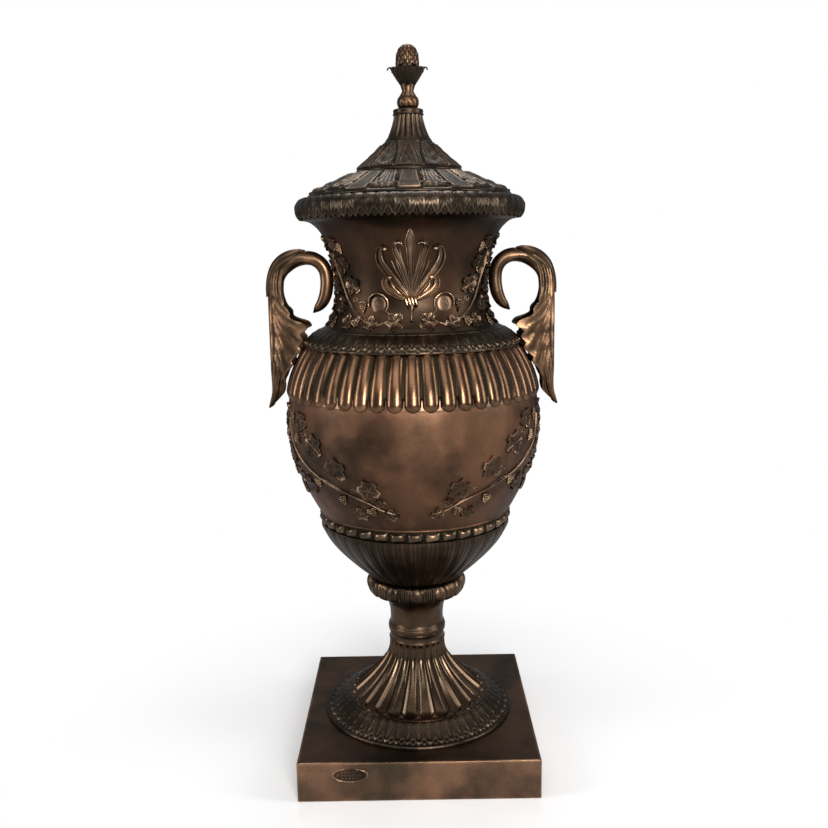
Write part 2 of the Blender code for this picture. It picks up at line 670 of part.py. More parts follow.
def handle_tube(cutters):
    """The round arm: out of the leaf, over the arch, down the neck and into a pointed curl."""
    outer = HANDLE_REACH - HANDLE_TUBE_INSET - HANDLE_TUBE
    inner = NECK_RADIUS + FIT + 0.86 * HANDLE_TUBE
    middle, half = 0.5 * (outer + inner), 0.5 * (outer - inner)
    spring = NECK_BASE + 0.42 * NECK_HEIGHT
    points = []
    for lean, drop, thickness in ((1.0, 1.0, 0.62), (0.33, 0.68, 0.88), (0.0, 0.32, 1.0)):
        points.append((outer - lean * HANDLE_ARM_LEAN, spring - drop * HANDLE_ARM_DROP, thickness))
    steps = 6
    for k in range(steps + 1):
        angle = pi * k / steps
        thickness = mix(1.0, 0.86, k / steps)
        points.append((middle + half * cos(angle), spring + HANDLE_ARCH * sin(angle), thickness))
    for reach, drop, thickness in ((0.07, 0.36, 0.76), (0.41, 0.72, 0.56), (1.0, 1.0, 0.16)):
        points.append((inner + reach * HANDLE_CURL_REACH, spring - drop * HANDLE_CURL_DROP, thickness))
    curve = bpy.data.curves.new("handle_tube", "CURVE")
    curve.dimensions = "3D"
    curve.bevel_depth = HANDLE_TUBE
    curve.bevel_resolution = 2
    curve.use_fill_caps = True
    line = curve.splines.new("POLY")
    line.points.add(len(points) - 1)
    for point, (x, z, thickness) in zip(line.points, points):
        point.co = (-x, 0.0, z, 1.0)
        point.radius = thickness
        point.tilt = HANDLE_TUBE_TURN
    guide = bpy.data.objects.new("handle_tube_curve", curve)
    cutters.objects.link(guide)
    bpy.context.view_layer.update()
    mesh = bpy.data.meshes.new_from_object(guide.evaluated_get(bpy.context.evaluated_depsgraph_get()))
    bpy.data.objects.remove(guide, do_unlink=True)
    bm = bmesh.new()
    bm.from_mesh(mesh)
    bmesh.ops.remove_doubles(bm, verts=bm.verts, dist=WELD)
    tube = add_object("handle_tube", bm, cutters)
    hide_cutter(tube)
    return tube


# Rows of the handle's leaf from its tip up: share of the drop, inward reach of its margin and
# outward curl of its rib in shares of the leaf's reach, and its half width in shares of the spread
LEAF_ROWS = ((0.0, -0.1, 0.16, 0.12), (0.08, 0.1, 0.03, 0.34), (0.17, 0.27, 0.0, 0.55), (0.35, 0.5, 0.0, 0.8),
             (0.55, 0.82, 0.0, 0.95), (0.63, 0.66, 0.0, 0.92), (0.73, 0.98, 0.0, 1.0), (0.83, 0.56, 0.0, 0.66),
             (1.0, 0.3, 0.0, 0.36))


def make_handle(name, parts, cutters, envelope, material):
    """A long leaf folded along its rib, with its margins on the shoulder, and the arm it holds."""
    leaf_top = NECK_BASE + 0.3 * NECK_HEIGHT
    fold = 0.55
    columns = (-1.0, -fold, 0.0, fold, 1.0)
    bm = bmesh.new()
    rows = []
    for share, margin, curl, width in LEAF_ROWS:
        z = leaf_top - HANDLE_LEAF_DROP * (1.0 - share)
        rib = HANDLE_REACH + curl * HANDLE_LEAF_REACH * 0.4
        row = []
        for column in columns:
            inward = margin * HANDLE_LEAF_REACH * abs(column) ** 1.6
            drop = HANDLE_LEAF_FOLD if abs(column) == fold else 0.0
            x = rib - inward - drop
            row.append(bm.verts.new((-x, column * width * HANDLE_LEAF_SPREAD, z)))
        rows.append(row)
    for first, second in zip(rows, rows[1:]):
        for k in range(len(columns) - 1):
            bm.faces.new((first[k], first[k + 1], second[k + 1], second[k]))
    for face in bm.faces:
        face.normal_update()
        if face.normal.x > 0.0:
            face.normal_flip()
    mesh = bpy.data.meshes.new(name)
    bm.to_mesh(mesh)
    bm.free()
    mesh.materials.append(material)
    handle = bpy.data.objects.new(name, mesh)
    parts.objects.link(handle)
    thick = handle.modifiers.new("Thickness", "SOLIDIFY")
    thick.thickness = HANDLE_LEAF_WALL
    thick.offset = -1.0
    boolean(handle, "UNION", handle_tube(cutters))
    boolean(handle, "DIFFERENCE", envelope)
    return handle


def mirror_handle(name, source, parts, material):
    """The same handle for the other side of the vessel."""
    bpy.context.view_layer.update()
    graph = bpy.context.evaluated_depsgraph_get()
    mesh = bpy.data.meshes.new_from_object(source.evaluated_get(graph))
    mesh.name = name
    mesh.transform(Matrix.Diagonal((-1.0, 1.0, 1.0, 1.0)))
    mesh.flip_normals()
    mesh.materials.clear()
    mesh.materials.append(material)
    parts.objects.link(bpy.data.objects.new(name, mesh))


def make_envelope(cutters):
    """The vessel's outline a fit larger, which trims the handles where they meet it."""
    heights = [LEDGE_BASE, BELLY_BASE + 0.5 * BELLY_RISE, BELLY_TOP, GADROON_BASE]
    heights.extend(GADROON_BASE + share * GADROON_HEIGHT for share in (0.25, 0.5, 0.75))
    outline = [(body_radius(height), height) for height in heights]
    outline.append((SHOULDER_RADIUS, SHOULDER_BASE))
    outline.append((SHOULDER_RADIUS, SHOULDER_BASE + SHOULDER_STEP))
    outline.append((NECK_BASE_RADIUS + SHOULDER_STEP, NECK_BASE - SHOULDER_STEP))
    outline.extend((body_radius(height), height) for height in neck_heights())
    mesh = bpy.data.meshes.new("vessel_envelope")
    points = [(0.0, 0.0, outline[-1][1])]
    for radius, height in reversed(outline):
        grown = (radius + FIT * sqrt(1.0 + body_slope(height) ** 2)) / cos(pi / SIDES)
        points.append((grown, 0.0, height))
    points.append((0.0, 0.0, outline[0][1]))
    mesh.from_pydata(points, [(k, k + 1) for k in range(len(points) - 1)], [])
    envelope = bpy.data.objects.new("vessel_envelope", mesh)
    cutters.objects.link(envelope)
    turn = envelope.modifiers.new("Turn", "SCREW")
    turn.steps = SIDES
    turn.render_steps = SIDES
    turn.use_merge_vertices = True
    turn.merge_threshold = 0.0001
    hide_cutter(envelope)
    return envelope


def lid_band_height(radius):
    """Height of the lid's lower surface of leaves above its edge, at a radius."""
    outer = LID_RADIUS - LID_LEAF_INSET
    share = (outer - radius) / (outer - LID_LEDGE_RADIUS)
    return LID_BASE + LID_EDGE + (LID_BAND_HEIGHT - LID_LEDGE_DROP) * (0.3 * share + 0.7 * share ** 1.7)


def make_lid(parts, material):
    rings = [pole(LID_TOP)]
    rings.append(ring(0.8 * LID_COLLAR_RADIUS, LID_TOP, INNER_SIDES))
    rings.append(ring(LID_COLLAR_RADIUS, LID_COLLAR_BASE + 0.5 * LID_COLLAR_HEIGHT, INNER_SIDES))
    for share, depth in ((0.96, 0.6), (0.4, 1.0)):
        radius = mix(LID_NECK_RADIUS, 0.95 * LID_COLLAR_RADIUS, 1.0 - (1.0 - share) ** 1.7)
        height = LID_NECK_BASE + share * LID_NECK_HEIGHT
        rings.append(ridged(radius, height, LID_FLUTES, depth * LID_FLUTE_DEPTH))
    for share, half_width, depth in ((0.93, 0.2, 0.5), (0.3, 0.38, 1.0)):
        radius = mix(LID_LEDGE_RADIUS, LID_NECK_RADIUS, share ** 0.93)
        height = LID_LEDGE + share * LID_UPPER_HEIGHT
        rings.append(lobed(radius, height, LID_UPPER_LEAVES, half_width, depth * LID_LOBE_DEPTH, 0.5))
    rings.append(ring(LID_LEDGE_RADIUS + LID_LEDGE_STEP, LID_LEDGE, SIDES))
    rings.append(ring(LID_LEDGE_RADIUS + LID_LEDGE_STEP, LID_LEDGE - 2.0 * LID_LEDGE_STEP, SIDES))
    for share, lift in ((0.3, 0.7), (0.93, 1.0)):
        radius = mix(LID_LEDGE_RADIUS, LID_RADIUS - LID_LEAF_INSET, share)
        height = lid_band_height(radius)
        notch, tip = (radius - LID_LEAF_NOTCH, height), (radius, height + lift * LID_LEAF_LIFT)
        rings.append(tipped(notch, tip, LID_LEAVES))
    rings.append(ring(LID_RADIUS - LID_LEAF_NOTCH, LID_BASE + LID_EDGE, SIDES))
    rings.append(ring(LID_RADIUS, LID_BASE, SIDES))
    spigot = MOUTH_RADIUS * cos(pi / INNER_SIDES) - SPIGOT_CLEARANCE
    rings.append(ring(spigot, LID_BASE, INNER_SIDES))
    rings.append(ring(spigot, LID_BASE - SPIGOT_DEPTH, INNER_SIDES))
    rings.append(ring(spigot - WALL, LID_BASE - SPIGOT_DEPTH, INNER_SIDES))
    rings.append(ring(spigot - WALL, LID_BASE, INNER_SIDES))
    for share in (0.35, 0.9):
        radius = mix(spigot - WALL, LID_LEDGE_RADIUS - 2.0 * WALL, share)
        rings.append(ring(radius, lid_band_height(radius) - 1.4 * WALL, INNER_SIDES))
    rings.append(ring(mix(LID_LEDGE_RADIUS, LID_NECK_RADIUS, 0.5) - 2.2 * WALL,
                      LID_LEDGE + 0.45 * LID_UPPER_HEIGHT, INNER_SIDES))
    rings.append(ring(LID_NECK_RADIUS - 2.0 * WALL, LID_NECK_BASE - 1.0 * WALL, INNER_SIDES))
    rings.append(ring(0.5 * LID_COLLAR_RADIUS, LID_COLLAR_BASE, INNER_SIDES))
    rings.append(pole(LID_COLLAR_BASE))
    turned("lid", rings, parts, material)


def make_finial(parts, material):
    stem_base = FINIAL_BASE + FINIAL_BALL_HEIGHT
    cup_base = stem_base + FINIAL_STEM_HEIGHT
    acorn_base = cup_base + FINIAL_CUP_HEIGHT
    sides = 2 * FINIAL_LEAVES
    rings = [pole(FINIAL_BASE), ring(0.78 * FINIAL_BALL_RADIUS, FINIAL_BASE, sides)]
    for share in (0.28, 0.55, 0.82):
        radius = FINIAL_BALL_RADIUS * sqrt(1.0 - (1.5 * (share - 0.5)) ** 2)
        rings.append(ring(radius, FINIAL_BASE + share * FINIAL_BALL_HEIGHT, sides))
    for share, radius in ((0.1, 1.15), (0.5, 1.0), (0.9, 1.1)):
        rings.append(ring(radius * FINIAL_STEM_RADIUS, stem_base + share * FINIAL_STEM_HEIGHT, sides))
    for share, reach in ((0.3, 0.6), (0.62, 0.8)):
        rings.append(ring(reach * FINIAL_CUP_RADIUS, cup_base + share * FINIAL_CUP_HEIGHT, sides))
    notch = (0.72 * FINIAL_CUP_RADIUS, cup_base + 0.8 * FINIAL_CUP_HEIGHT)
    tip = (FINIAL_CUP_RADIUS, cup_base + FINIAL_CUP_HEIGHT)
    rings.append(tipped(notch, tip, FINIAL_LEAVES))
    rings.append(ring(0.96 * ACORN_RADIUS, acorn_base - ACORN_SEAT, sides))
    for share in (0.2, 0.45, 0.68, 0.87):
        radius = ACORN_RADIUS * sqrt(1.0 - (share / 1.02) ** 2.6)
        rings.append(ring(radius, acorn_base + share * ACORN_HEIGHT, sides))
    rings.append(pole(acorn_base + ACORN_HEIGHT))
    turned("finial", rings, parts, material)


def main():
    clear_scene()
    parts = new_collection("mantel_urn")
    cutters = new_collection("cutters")
    make_plinth(parts, cutters, bronze("plinth_bronze", (0.16, 0.1, 0.06), 0.42))
    make_foot(parts, bronze("foot_bronze", (0.1, 0.07, 0.05), 0.4))
    make_body(parts, cutters, bronze("body_bronze", (0.12, 0.08, 0.05), 0.38))
    envelope = make_envelope(cutters)
    handle_color = (0.2, 0.12, 0.07)
    left = make_handle("handle_left", parts, cutters, envelope, bronze("left_bronze", handle_color, 0.35))
    mirror_handle("handle_right", left, parts, bronze("right_bronze", handle_color, 0.35))
    make_lid(parts, bronze("lid_bronze", (0.1, 0.075, 0.055), 0.42))
    make_finial(parts, bronze("finial_bronze", (0.15, 0.09, 0.06), 0.35))


main()
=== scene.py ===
"""Looks of the lidded bronze mantel urn.

Bands that repeat round the axis are made as one cell by a formula and repeated by Geometry Nodes.
Vines and palmettes are swept and laid over the vessel's outline, and handles and finial leaves along
curves of their own. Lengths inside the shape functions are millimetres. An azimuth of 0 is the front,
which faces -Y, and it grows towards +X.
"""

from math import cos, pi, radians, sin, sqrt, tau

import bmesh
import bpy
import numpy as np
from mathutils import Matrix, Vector

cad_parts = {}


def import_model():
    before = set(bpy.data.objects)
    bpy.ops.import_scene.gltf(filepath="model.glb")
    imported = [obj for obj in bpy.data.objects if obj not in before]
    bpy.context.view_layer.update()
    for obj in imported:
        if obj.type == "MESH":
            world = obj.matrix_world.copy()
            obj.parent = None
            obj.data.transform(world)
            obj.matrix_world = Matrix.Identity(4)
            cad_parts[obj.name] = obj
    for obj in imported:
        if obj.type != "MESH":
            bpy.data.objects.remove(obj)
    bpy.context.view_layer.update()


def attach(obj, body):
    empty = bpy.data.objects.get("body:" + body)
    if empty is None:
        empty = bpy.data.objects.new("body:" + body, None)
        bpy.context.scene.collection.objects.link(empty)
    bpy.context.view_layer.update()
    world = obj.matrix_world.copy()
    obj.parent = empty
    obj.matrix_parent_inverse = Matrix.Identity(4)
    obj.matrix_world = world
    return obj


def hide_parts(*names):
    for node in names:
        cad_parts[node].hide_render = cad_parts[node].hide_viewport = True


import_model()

MM = 0.001
TINY = 1e-9
FULL_WEAR = 0.32  # height over its surroundings at which a place is fully worn
SUNK = 0.9  # depth of a laid form's border under the skin
CELL_WELD = 2e-5  # metres within which neighbouring cells are merged
PLINTH_HALF = 125  # half of the plinth's side


# Small helpers for numbers and arrays

def mix(first, second, share):
    return first + (second - first) * share


def unit(x):
    return np.clip(x, 0, 1)


def smooth(low, high, x):
    share = unit((x - low) / (high - low))
    return share * share * (3 - 2 * share)


def cell(turns):
    """Signed distance from the middle of the nearest repeat, in repeats."""
    return turns - np.round(turns)


def bump(x, width):
    return np.exp(-(x / width) ** 2)


def dome(x):
    """A half-round section over -1 to 1."""
    return np.sqrt(unit(1 - x * x))


def normals(places):
    """Unit vectors square to a path in a plane."""
    tangent = np.gradient(places, axis=0)
    tangent /= np.maximum(np.linalg.norm(tangent, axis=1), TINY)[:, None]
    return np.stack((tangent[:, 1], -tangent[:, 0]), axis=1)


def round_axis(radius, azimuth, height):
    """Places from a radius, an azimuth and a height."""
    return np.stack((radius * np.sin(azimuth), -radius * np.cos(azimuth), height), axis=-1)


def through(points, count):
    """A smooth path of count places through the given points, whatever they hold."""
    points = np.asarray(points, dtype=float)
    steps = np.linalg.norm(np.diff(points[:, :2], axis=0), axis=1)
    knots = np.concatenate(([0], np.cumsum(np.maximum(steps, 1e-6))))
    places = np.linspace(0, knots[-1], count)
    slopes = np.zeros_like(points)
    rates = np.diff(points, axis=0) / np.diff(knots)[:, None]
    slopes[0], slopes[-1] = rates[0], rates[-1]
    before, after = np.diff(knots)[:-1, None], np.diff(knots)[1:, None]
    slopes[1:-1] = (rates[:-1] * after + rates[1:] * before) / (before + after)
    where = np.clip(np.searchsorted(knots, places, side="right") - 1, 0, len(knots) - 2)
    span = (knots[where + 1] - knots[where])[:, None]
    share = ((places - knots[where])[:, None]) / span
    first, second = points[where], points[where + 1]
    square, cube = share ** 2, share ** 3
    return ((2 * cube - 3 * square + 1) * first + (cube - 2 * square + share) * span * slopes[where]
            + (3 * square - 2 * cube) * second + (cube - square) * span * slopes[where + 1])


def straight(points, count):
    """A path of count places along straight runs, with every corner kept."""
    points = np.asarray(points, dtype=float)
    steps = np.linalg.norm(np.diff(points[:, :2], axis=0), axis=1)
    knots = np.concatenate(([0], np.cumsum(steps)))
    places = np.linspace(0, knots[-1], count)
    return np.stack([np.interp(places, knots, points[:, k]) for k in range(points.shape[1])], axis=1)


def blur(field, rows, columns):
    """A box blur that wraps round the columns."""
    total = np.zeros_like(field)
    for k in range(-columns, columns + 1):
        total += np.roll(field, k, axis=1)
    total /= 2 * columns + 1
    padded = np.pad(total, ((rows, rows), (0, 0)), mode="edge")
    result = np.zeros_like(field)
    for k in range(2 * rows + 1):
        result += padded[k:k + field.shape[0]]
    return result / (2 * rows + 1)


# Outline of the vessel, the same functions as in the part's own source

BODY_BASE, LEDGE_BASE, BELLY_BASE, BELLY_TOP = 200.6, 266.6, 279.6, 385.6
GADROON_BASE, SHOULDER_BASE, NECK_BASE, NECK_TOP = 399.6, 459.6, 476.1, 574.1
RIM_BASE, BODY_TOP, LID_BASE, LID_LEDGE = 587.6, 609.1, 609.4, 636.6
LID_NECK_BASE, LID_COLLAR_BASE, LID_TOP, FINIAL_BASE = 666.6, 689.6, 697.6, 697.9


def bowl_radius(z):
    share = unit((z - BODY_BASE) / (LEDGE_BASE - BODY_BASE))
    return mix(47.5, 103.5, 1 - (1 - share) ** 1.5)


def belly_radius(z):
    share = unit((z - BELLY_BASE) / (BELLY_TOP - BELLY_BASE))
    return mix(103.5, 136, 1 - (1 - share) ** 2) - 2.2 * smooth(350, 398, z)


def gadroon_radius(z):
    share = unit((z - GADROON_BASE) / (SHOULDER_BASE - GADROON_BASE))
    return mix(136, 113, share ** 1.9)


def neck_radius(z):
    rise = np.asarray(z) - NECK_BASE
    lower = mix(93.5, 79.4, 1 - (1 - unit(rise / 36)) ** 2.2)
    upper = mix(79.4, 93.5, unit((rise - 36) / 62) ** 2.1)
    return np.where(rise < 36, lower, upper)


def vessel_radius(z):
    z = np.asarray(z, dtype=float)
    return np.where(z > SHOULDER_BASE, neck_radius(z), belly_radius(z))


def vessel_slope(z):
    return vessel_radius(z + 0.5) - vessel_radius(z - 0.5)


def on_vessel(azimuth, z, lift):
    """Places in metres over the belly or neck, lifted square to its outline."""
    slope = vessel_slope(z)
    length = np.sqrt(1 + slope * slope)
    radius = vessel_radius(z) + lift / length
    height = z - lift * slope / length
    return round_axis(radius, azimuth, height) * MM


def beside(azimuth, z, u, v):
    """The azimuth and height of a place u round and v up the outline from another, in millimetres."""
    height = z + v / np.sqrt(1 + vessel_slope(z) ** 2)
    return azimuth + u / vessel_radius(height), height


# Meshes

class Shell:
    """Collects grids of vertices with how worn and how recessed each vertex is."""

    def __init__(self):
        self.verts, self.faces, self.worn, self.deep = [], [], [], []
        self.count = 0

    def add(self, grid, worn, deep, wrap_rows=False, wrap_columns=True):
        rows, columns = grid.shape[:2]
        index = np.arange(rows * columns).reshape(rows, columns) + self.count
        if wrap_rows:
            index = np.vstack((index, index[:1]))
        if wrap_columns:
            index = np.hstack((index, index[:, :1]))
        faces = np.stack((index[:-1, :-1], index[:-1, 1:], index[1:, 1:], index[1:, :-1]), axis=-1)
        self.verts.append(grid.reshape(-1, 3))
        self.faces.append(faces.reshape(-1, 4))
        for values, value in ((self.worn, worn), (self.deep, deep)):
            values.append(np.broadcast_to(np.asarray(value, dtype=float), (rows, columns)).reshape(-1))
        self.count += rows * columns

    def mesh(self, name):
        made = bpy.data.meshes.new(name)
        made.from_pydata(np.concatenate(self.verts).tolist(), [], np.concatenate(self.faces).tolist())
        for label, values in (("worn", self.worn), ("deep", self.deep)):
            layer = made.attributes.new(label, "FLOAT", "POINT")
            layer.data.foreach_set("value", np.concatenate(values).astype(np.float32))
        return made


def finish_piece(name, mesh, material, nodes=(), sharp=60):
    mesh.materials.clear()
    mesh.materials.append(material)
    mesh.shade_smooth()
    mesh.set_sharp_from_angle(angle=radians(sharp))
    piece = bpy.data.objects.new(name, mesh)
    bpy.context.scene.collection.objects.link(piece)
    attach(piece, "root")
    if nodes:
        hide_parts(*nodes)


def cast(shell, name, material, nodes=(), weld=5e-6, sharp=60):
    """Makes a piece of a shell, welded and with its faces outwards."""
    mesh = shell.mesh(name)
    bm = bmesh.new()
    bm.from_mesh(mesh)
    bmesh.ops.remove_doubles(bm, verts=bm.verts, dist=weld)
    bmesh.ops.dissolve_degenerate(bm, edges=bm.edges, dist=1e-7)
    bmesh.ops.recalc_face_normals(bm, faces=bm.faces)
    bm.to_mesh(mesh)
    bm.free()
    finish_piece(name, mesh, material, nodes, sharp)


# Geometry Nodes: one tree repeats a cell round the axis, the other strews grapes on points

def new_tree(name, inputs):
    """A tree with named inputs, its input node and its output node."""
    tree = bpy.data.node_groups.new(name, "GeometryNodeTree")
    for label, kind in inputs:
        tree.interface.new_socket(label, in_out="INPUT", socket_type=kind)
    tree.interface.new_socket("Geometry", in_out="OUTPUT", socket_type="NodeSocketGeometry")
    return tree, node(tree, "NodeGroupInput"), node(tree, "NodeGroupOutput")


def node(tree, kind, **values):
    made = tree.nodes.new(kind)
    for key, value in values.items():
        setattr(made, key, value)
    return made


def settle(made, *values):
    """Sets inputs of a node. Each value is an input and what it takes."""
    for label, value in values:
        made.inputs[label].default_value = value
    return made


def wire(tree, *runs):
    """Links sockets. Each run is a node, its output, another node and its input."""
    for first, output, second, entry in runs:
        tree.links.new(first.outputs[output], second.inputs[entry])


def repeat_tree():
    """Repeats a cell a number of times round Z, welds the copies and sets their material."""
    tree, given, result = new_tree("repeat_round", (
        ("Geometry", "NodeSocketGeometry"), ("Count", "NodeSocketInt"), ("Weld", "NodeSocketFloat"),
        ("Material", "NodeSocketMaterial")))
    points, index = node(tree, "GeometryNodePoints"), node(tree, "GeometryNodeInputIndex")
    share = node(tree, "ShaderNodeMath", operation="DIVIDE")
    angle = settle(node(tree, "ShaderNodeMath", operation="MULTIPLY"), (1, tau))
    turn, copies = node(tree, "ShaderNodeCombineXYZ"), node(tree, "GeometryNodeInstanceOnPoints")
    real, weld = node(tree, "GeometryNodeRealizeInstances"), node(tree, "GeometryNodeMergeByDistance")
    paint = node(tree, "GeometryNodeSetMaterial")
    wire(tree, (given, "Count", points, "Count"), (index, 0, share, 0), (given, "Count", share, 1),
         (share, 0, angle, 0), (angle, 0, turn, "Z"), (points, 0, copies, "Points"),
         (given, "Geometry", copies, "Instance"), (turn, 0, copies, "Rotation"), (copies, 0, real, 0),
         (real, 0, weld, "Geometry"), (given, "Weld", weld, "Distance"), (weld, 0, paint, "Geometry"),
         (given, "Material", paint, "Material"), (paint, 0, result, 0))
    return tree


def grape_tree():
    """Puts a small round grape on every point, as large as the point's own size."""
    tree, given, result = new_tree("grapes", (("Geometry", "NodeSocketGeometry"),
                                              ("Material", "NodeSocketMaterial")))
    ball = settle(node(tree, "GeometryNodeMeshUVSphere"), ("Segments", 7), ("Rings", 4), ("Radius", 1))
    size = settle(node(tree, "GeometryNodeInputNamedAttribute", data_type="FLOAT"), ("Name", "size"))
    copies, real = node(tree, "GeometryNodeInstanceOnPoints"), node(tree, "GeometryNodeRealizeInstances")
    points, paint = node(tree, "GeometryNodeMeshToPoints"), node(tree, "GeometryNodeSetMaterial")
    # Every grape gets the same worn value: copper wear that also stands in for painted highlights on the
    # grapes.
    wear = settle(node(tree, "GeometryNodeStoreNamedAttribute", data_type="FLOAT", domain="POINT"),
                  ("Name", "worn"), ("Value", 0.55))
    wire(tree, (given, "Geometry", points, "Mesh"), (points, 0, copies, "Points"),
         (ball, "Mesh", copies, "Instance"), (size, "Attribute", copies, "Scale"), (copies, 0, real, 0),
         (real, 0, wear, "Geometry"), (wear, 0, paint, "Geometry"), (given, "Material", paint, "Material"),
         (paint, 0, result, 0))
    return tree


def grown(name, mesh, tree, values):
    """The mesh that a tree grows from another mesh."""
    base = bpy.data.objects.new(name, mesh)
    bpy.context.scene.collection.objects.link(base)
    step = base.modifiers.new("Grow", "NODES")
    step.node_group = tree
    for item in tree.interface.items_tree:
        if item.item_type == "SOCKET" and item.in_out == "INPUT" and item.name in values:
            step[item.identifier] = values[item.name]
    graph = bpy.context.evaluated_depsgraph_get()
    graph.update()
    result = bpy.data.meshes.new_from_object(base.evaluated_get(graph))
    result.name = name
    base.modifiers.remove(step)
    bpy.data.objects.remove(base, do_unlink=True)
    bpy.data.meshes.remove(mesh)
    return result


REPEAT = repeat_tree()
GRAPES = grape_tree()


def band(name, path, count, columns, relief, material, nodes=(), back=2.5, soften=(2, 2), sharp=60,
         rubbed=lambda share: 1):
    """A closed ring with a relief on its outside, made as one cell and repeated round the axis.

    path is (radius, height) from below upwards. relief takes the place across the cell in repeats and
    the length along the path, and returns how far the skin is raised. rubbed takes the share of the path
    and scales how worn the high places are. back is how far the hidden inner side lies behind the path,
    and soften how many rows and columns around a place it is measured against for the wear on high places
    and for the dirt and painted shade in the low ones.
    """
    path = np.asarray(path)
    steps = np.linalg.norm(np.diff(path, axis=0), axis=1)
    along = np.concatenate(([0], np.cumsum(steps)))
    normal = normals(path)
    across = np.linspace(-0.5, 0.5, columns + 1)
    raised = relief(across[None, :], along[:, None]) + np.zeros((len(path), columns + 1))
    loop = raised[:, :-1]
    high = loop - blur(loop, *soften)
    high = np.hstack((high, high[:, :1]))
    worn = unit(high / FULL_WEAR) * rubbed(along[:, None] / along[-1])
    # deep marks the low places for the recess colour: patina and dirt in the hollows, and painted shade there.
    deep = unit(-high / FULL_WEAR)
    radius = path[:, :1] + normal[:, :1] * raised
    height = path[:, 1:] + normal[:, 1:] * raised
    skip = int(np.clip(12 / steps.mean(), 2, 12))  # the hidden side has a row about every 12 mm
    inner = path[::-skip] - normal[::-skip] * back
    radius = np.vstack((radius, np.repeat(inner[:, :1], columns + 1, axis=1)))
    height = np.vstack((height, np.repeat(inner[:, 1:], columns + 1, axis=1)))
    extra = np.zeros((len(inner), columns + 1))
    azimuth = across[None, :] * tau / count
    grid = round_axis(radius, azimuth, height) * MM
    shell = Shell()
    shell.add(grid, np.vstack((worn, extra)), np.vstack((deep, extra)), wrap_rows=True, wrap_columns=False)
    mesh = grown(name, shell.mesh(name), REPEAT, {"Count": count, "Weld": CELL_WELD, "Material": material})
    finish_piece(name, mesh, material, nodes, sharp)


# Reliefs of the repeating bands. Each takes the place across a cell and the length along the path.

def pointed_leaf(across, along, length, lift, veins, lean):
    """A leaf with a V-shaped tip at its start: raised edge, midrib and veins that slant to the edge."""
    share, off = along / length, np.abs(across)
    half = 0.5 * unit(share / lean) ** 0.8
    inside = smooth(0, 0.035, half - off)
    edge = bump(half - off - 0.07, 0.06) * smooth(1.6 * lean, 0.9 * lean, share)
    midrib = bump(across, 0.045) * smooth(1, 0.5, share)
    vein = 0.5 + 0.5 * np.cos(tau * (veins * share - 3.2 * off))
    hollow = 1 - (2 * off) ** 2
    return inside * (lift * (0.6 + 0.4 * hollow) + 0.75 * edge + 0.35 * midrib + 0.22 * vein * (0.25 + hollow))


def leaf_rows(across, along, length, lift, behind, veins, lean, shift):
    """A row of leaves, and lower ones between them that start a little sooner."""
    front = pointed_leaf(across, along, length, lift, veins, lean)
    return np.maximum(front, pointed_leaf(cell(across + 0.5), along + shift, length, behind, veins, lean))


def rim_relief(across, along):
    """Two staggered rows of V-tipped leaves that climb over the rim."""
    start = along - 9.5
    leaves = leaf_rows(across, start, 27, 1.2, 0.5, 4, 0.34, 1.2) * smooth(27.5, 24.5, start)
    return np.maximum(leaves, 1.1 * dome((start - 28.8) / 1.6))


def shoulder_relief(across, along):
    """Leaves that point down over the gadroons, a fillet below them and a raised line above."""
    start = along - 4.6
    leaves = leaf_rows(across, start, 22, 1.1, 0.45, 3.5, 0.32, 1) * smooth(22.5, 19, start)
    fillet = dome((along - 2.4) / 1.5)
    line = 0.9 * dome((along - 27.6) / 1.1)
    return leaves + fillet + line


GADROONS, LOBE_HALF, LOBE_LIFT = 48, 0.485, (5.4, 2.8)


def gadroon_relief(across, along):
    """A long rounded lobe with a heavy lower end, and thin ridges in the dart beside it."""
    total = float(along.max()) - 4.5
    start = along - 3
    share = unit(start / total)
    half = mix(LOBE_HALF, 0.4, share)
    end = LOBE_HALF * tau * 136 / GADROONS
    low = unit((end - start) / end)
    top = unit((start - (total - 7)) / 6)
    section = (across / half) ** 2 + low ** 2 + 0.9 * top ** 2
    lobe = mix(*LOBE_LIFT, share) * np.sqrt(unit(1 - section))
    beside_lobe = np.abs(cell(across + 0.5))
    spread = mix(0, 0.05, smooth(0.25, 1, share))
    ridges = bump(beside_lobe - spread, 0.03) * mix(1.3, 1.5, share) * smooth(0.1, 0.3, share)
    return np.maximum(lobe, ridges * smooth(1, 0.94, share))


def bowl_relief(across, along):
    """Shallow tongues round the bowl, with fine reeds."""
    tongue = 0.8 * (1 - (2 * across) ** 2)
    reeds = 0.16 * np.cos(tau * 4 * across) * smooth(2, 12, along)
    return tongue + reeds


def tab_relief(across, along):
    """Smooth curled lips side by side round the ledge, each highest along its top."""
    u, v = across / 0.4, (along - 8.6 - 1.6 * across) / 4.4
    return dome(u) * dome(v) * (3.6 + 0.9 * v)


def flange_relief(across, along):
    """Broad veined leaves whose small tips curl up near the flange's edge."""
    start = along - 7.2
    share = unit(start / 24)
    leaves = leaf_rows(across, start, 26, 0.8, 0.35, 2.5, 0.3, 0.8)
    curl = 0.4 * bump(share - 0.1, 0.09) * bump(across, 0.16)
    rays = 0.25 * (0.5 + 0.5 * np.cos(tau * 4 * across)) * smooth(0.25, 0.5, share)
    return (leaves + curl + rays) * smooth(28, 24.5, start)


def trumpet_relief(across, along):
    """Hollow flutes between thin ridges, scooped out at their lower ends over a thin fillet."""
    across = cell(across + 0.5)
    start = along - 4.6
    half, end = 0.47, 5.4
    low = unit((end - start) / end)
    top = unit((start - 75) / 5)
    section = (across / half) ** 2 + low ** 2 + top ** 2
    scoop = -unit(1 - section) ** 0.75 * mix(3.4, 1.7, smooth(0, 80, start))
    lip = 0.7 * bump(np.sqrt(section) - 1.06, 0.1) * smooth(8, 0, start) * (start > -2.5)
    return scoop + lip + 0.8 * dome(along - 1.4)


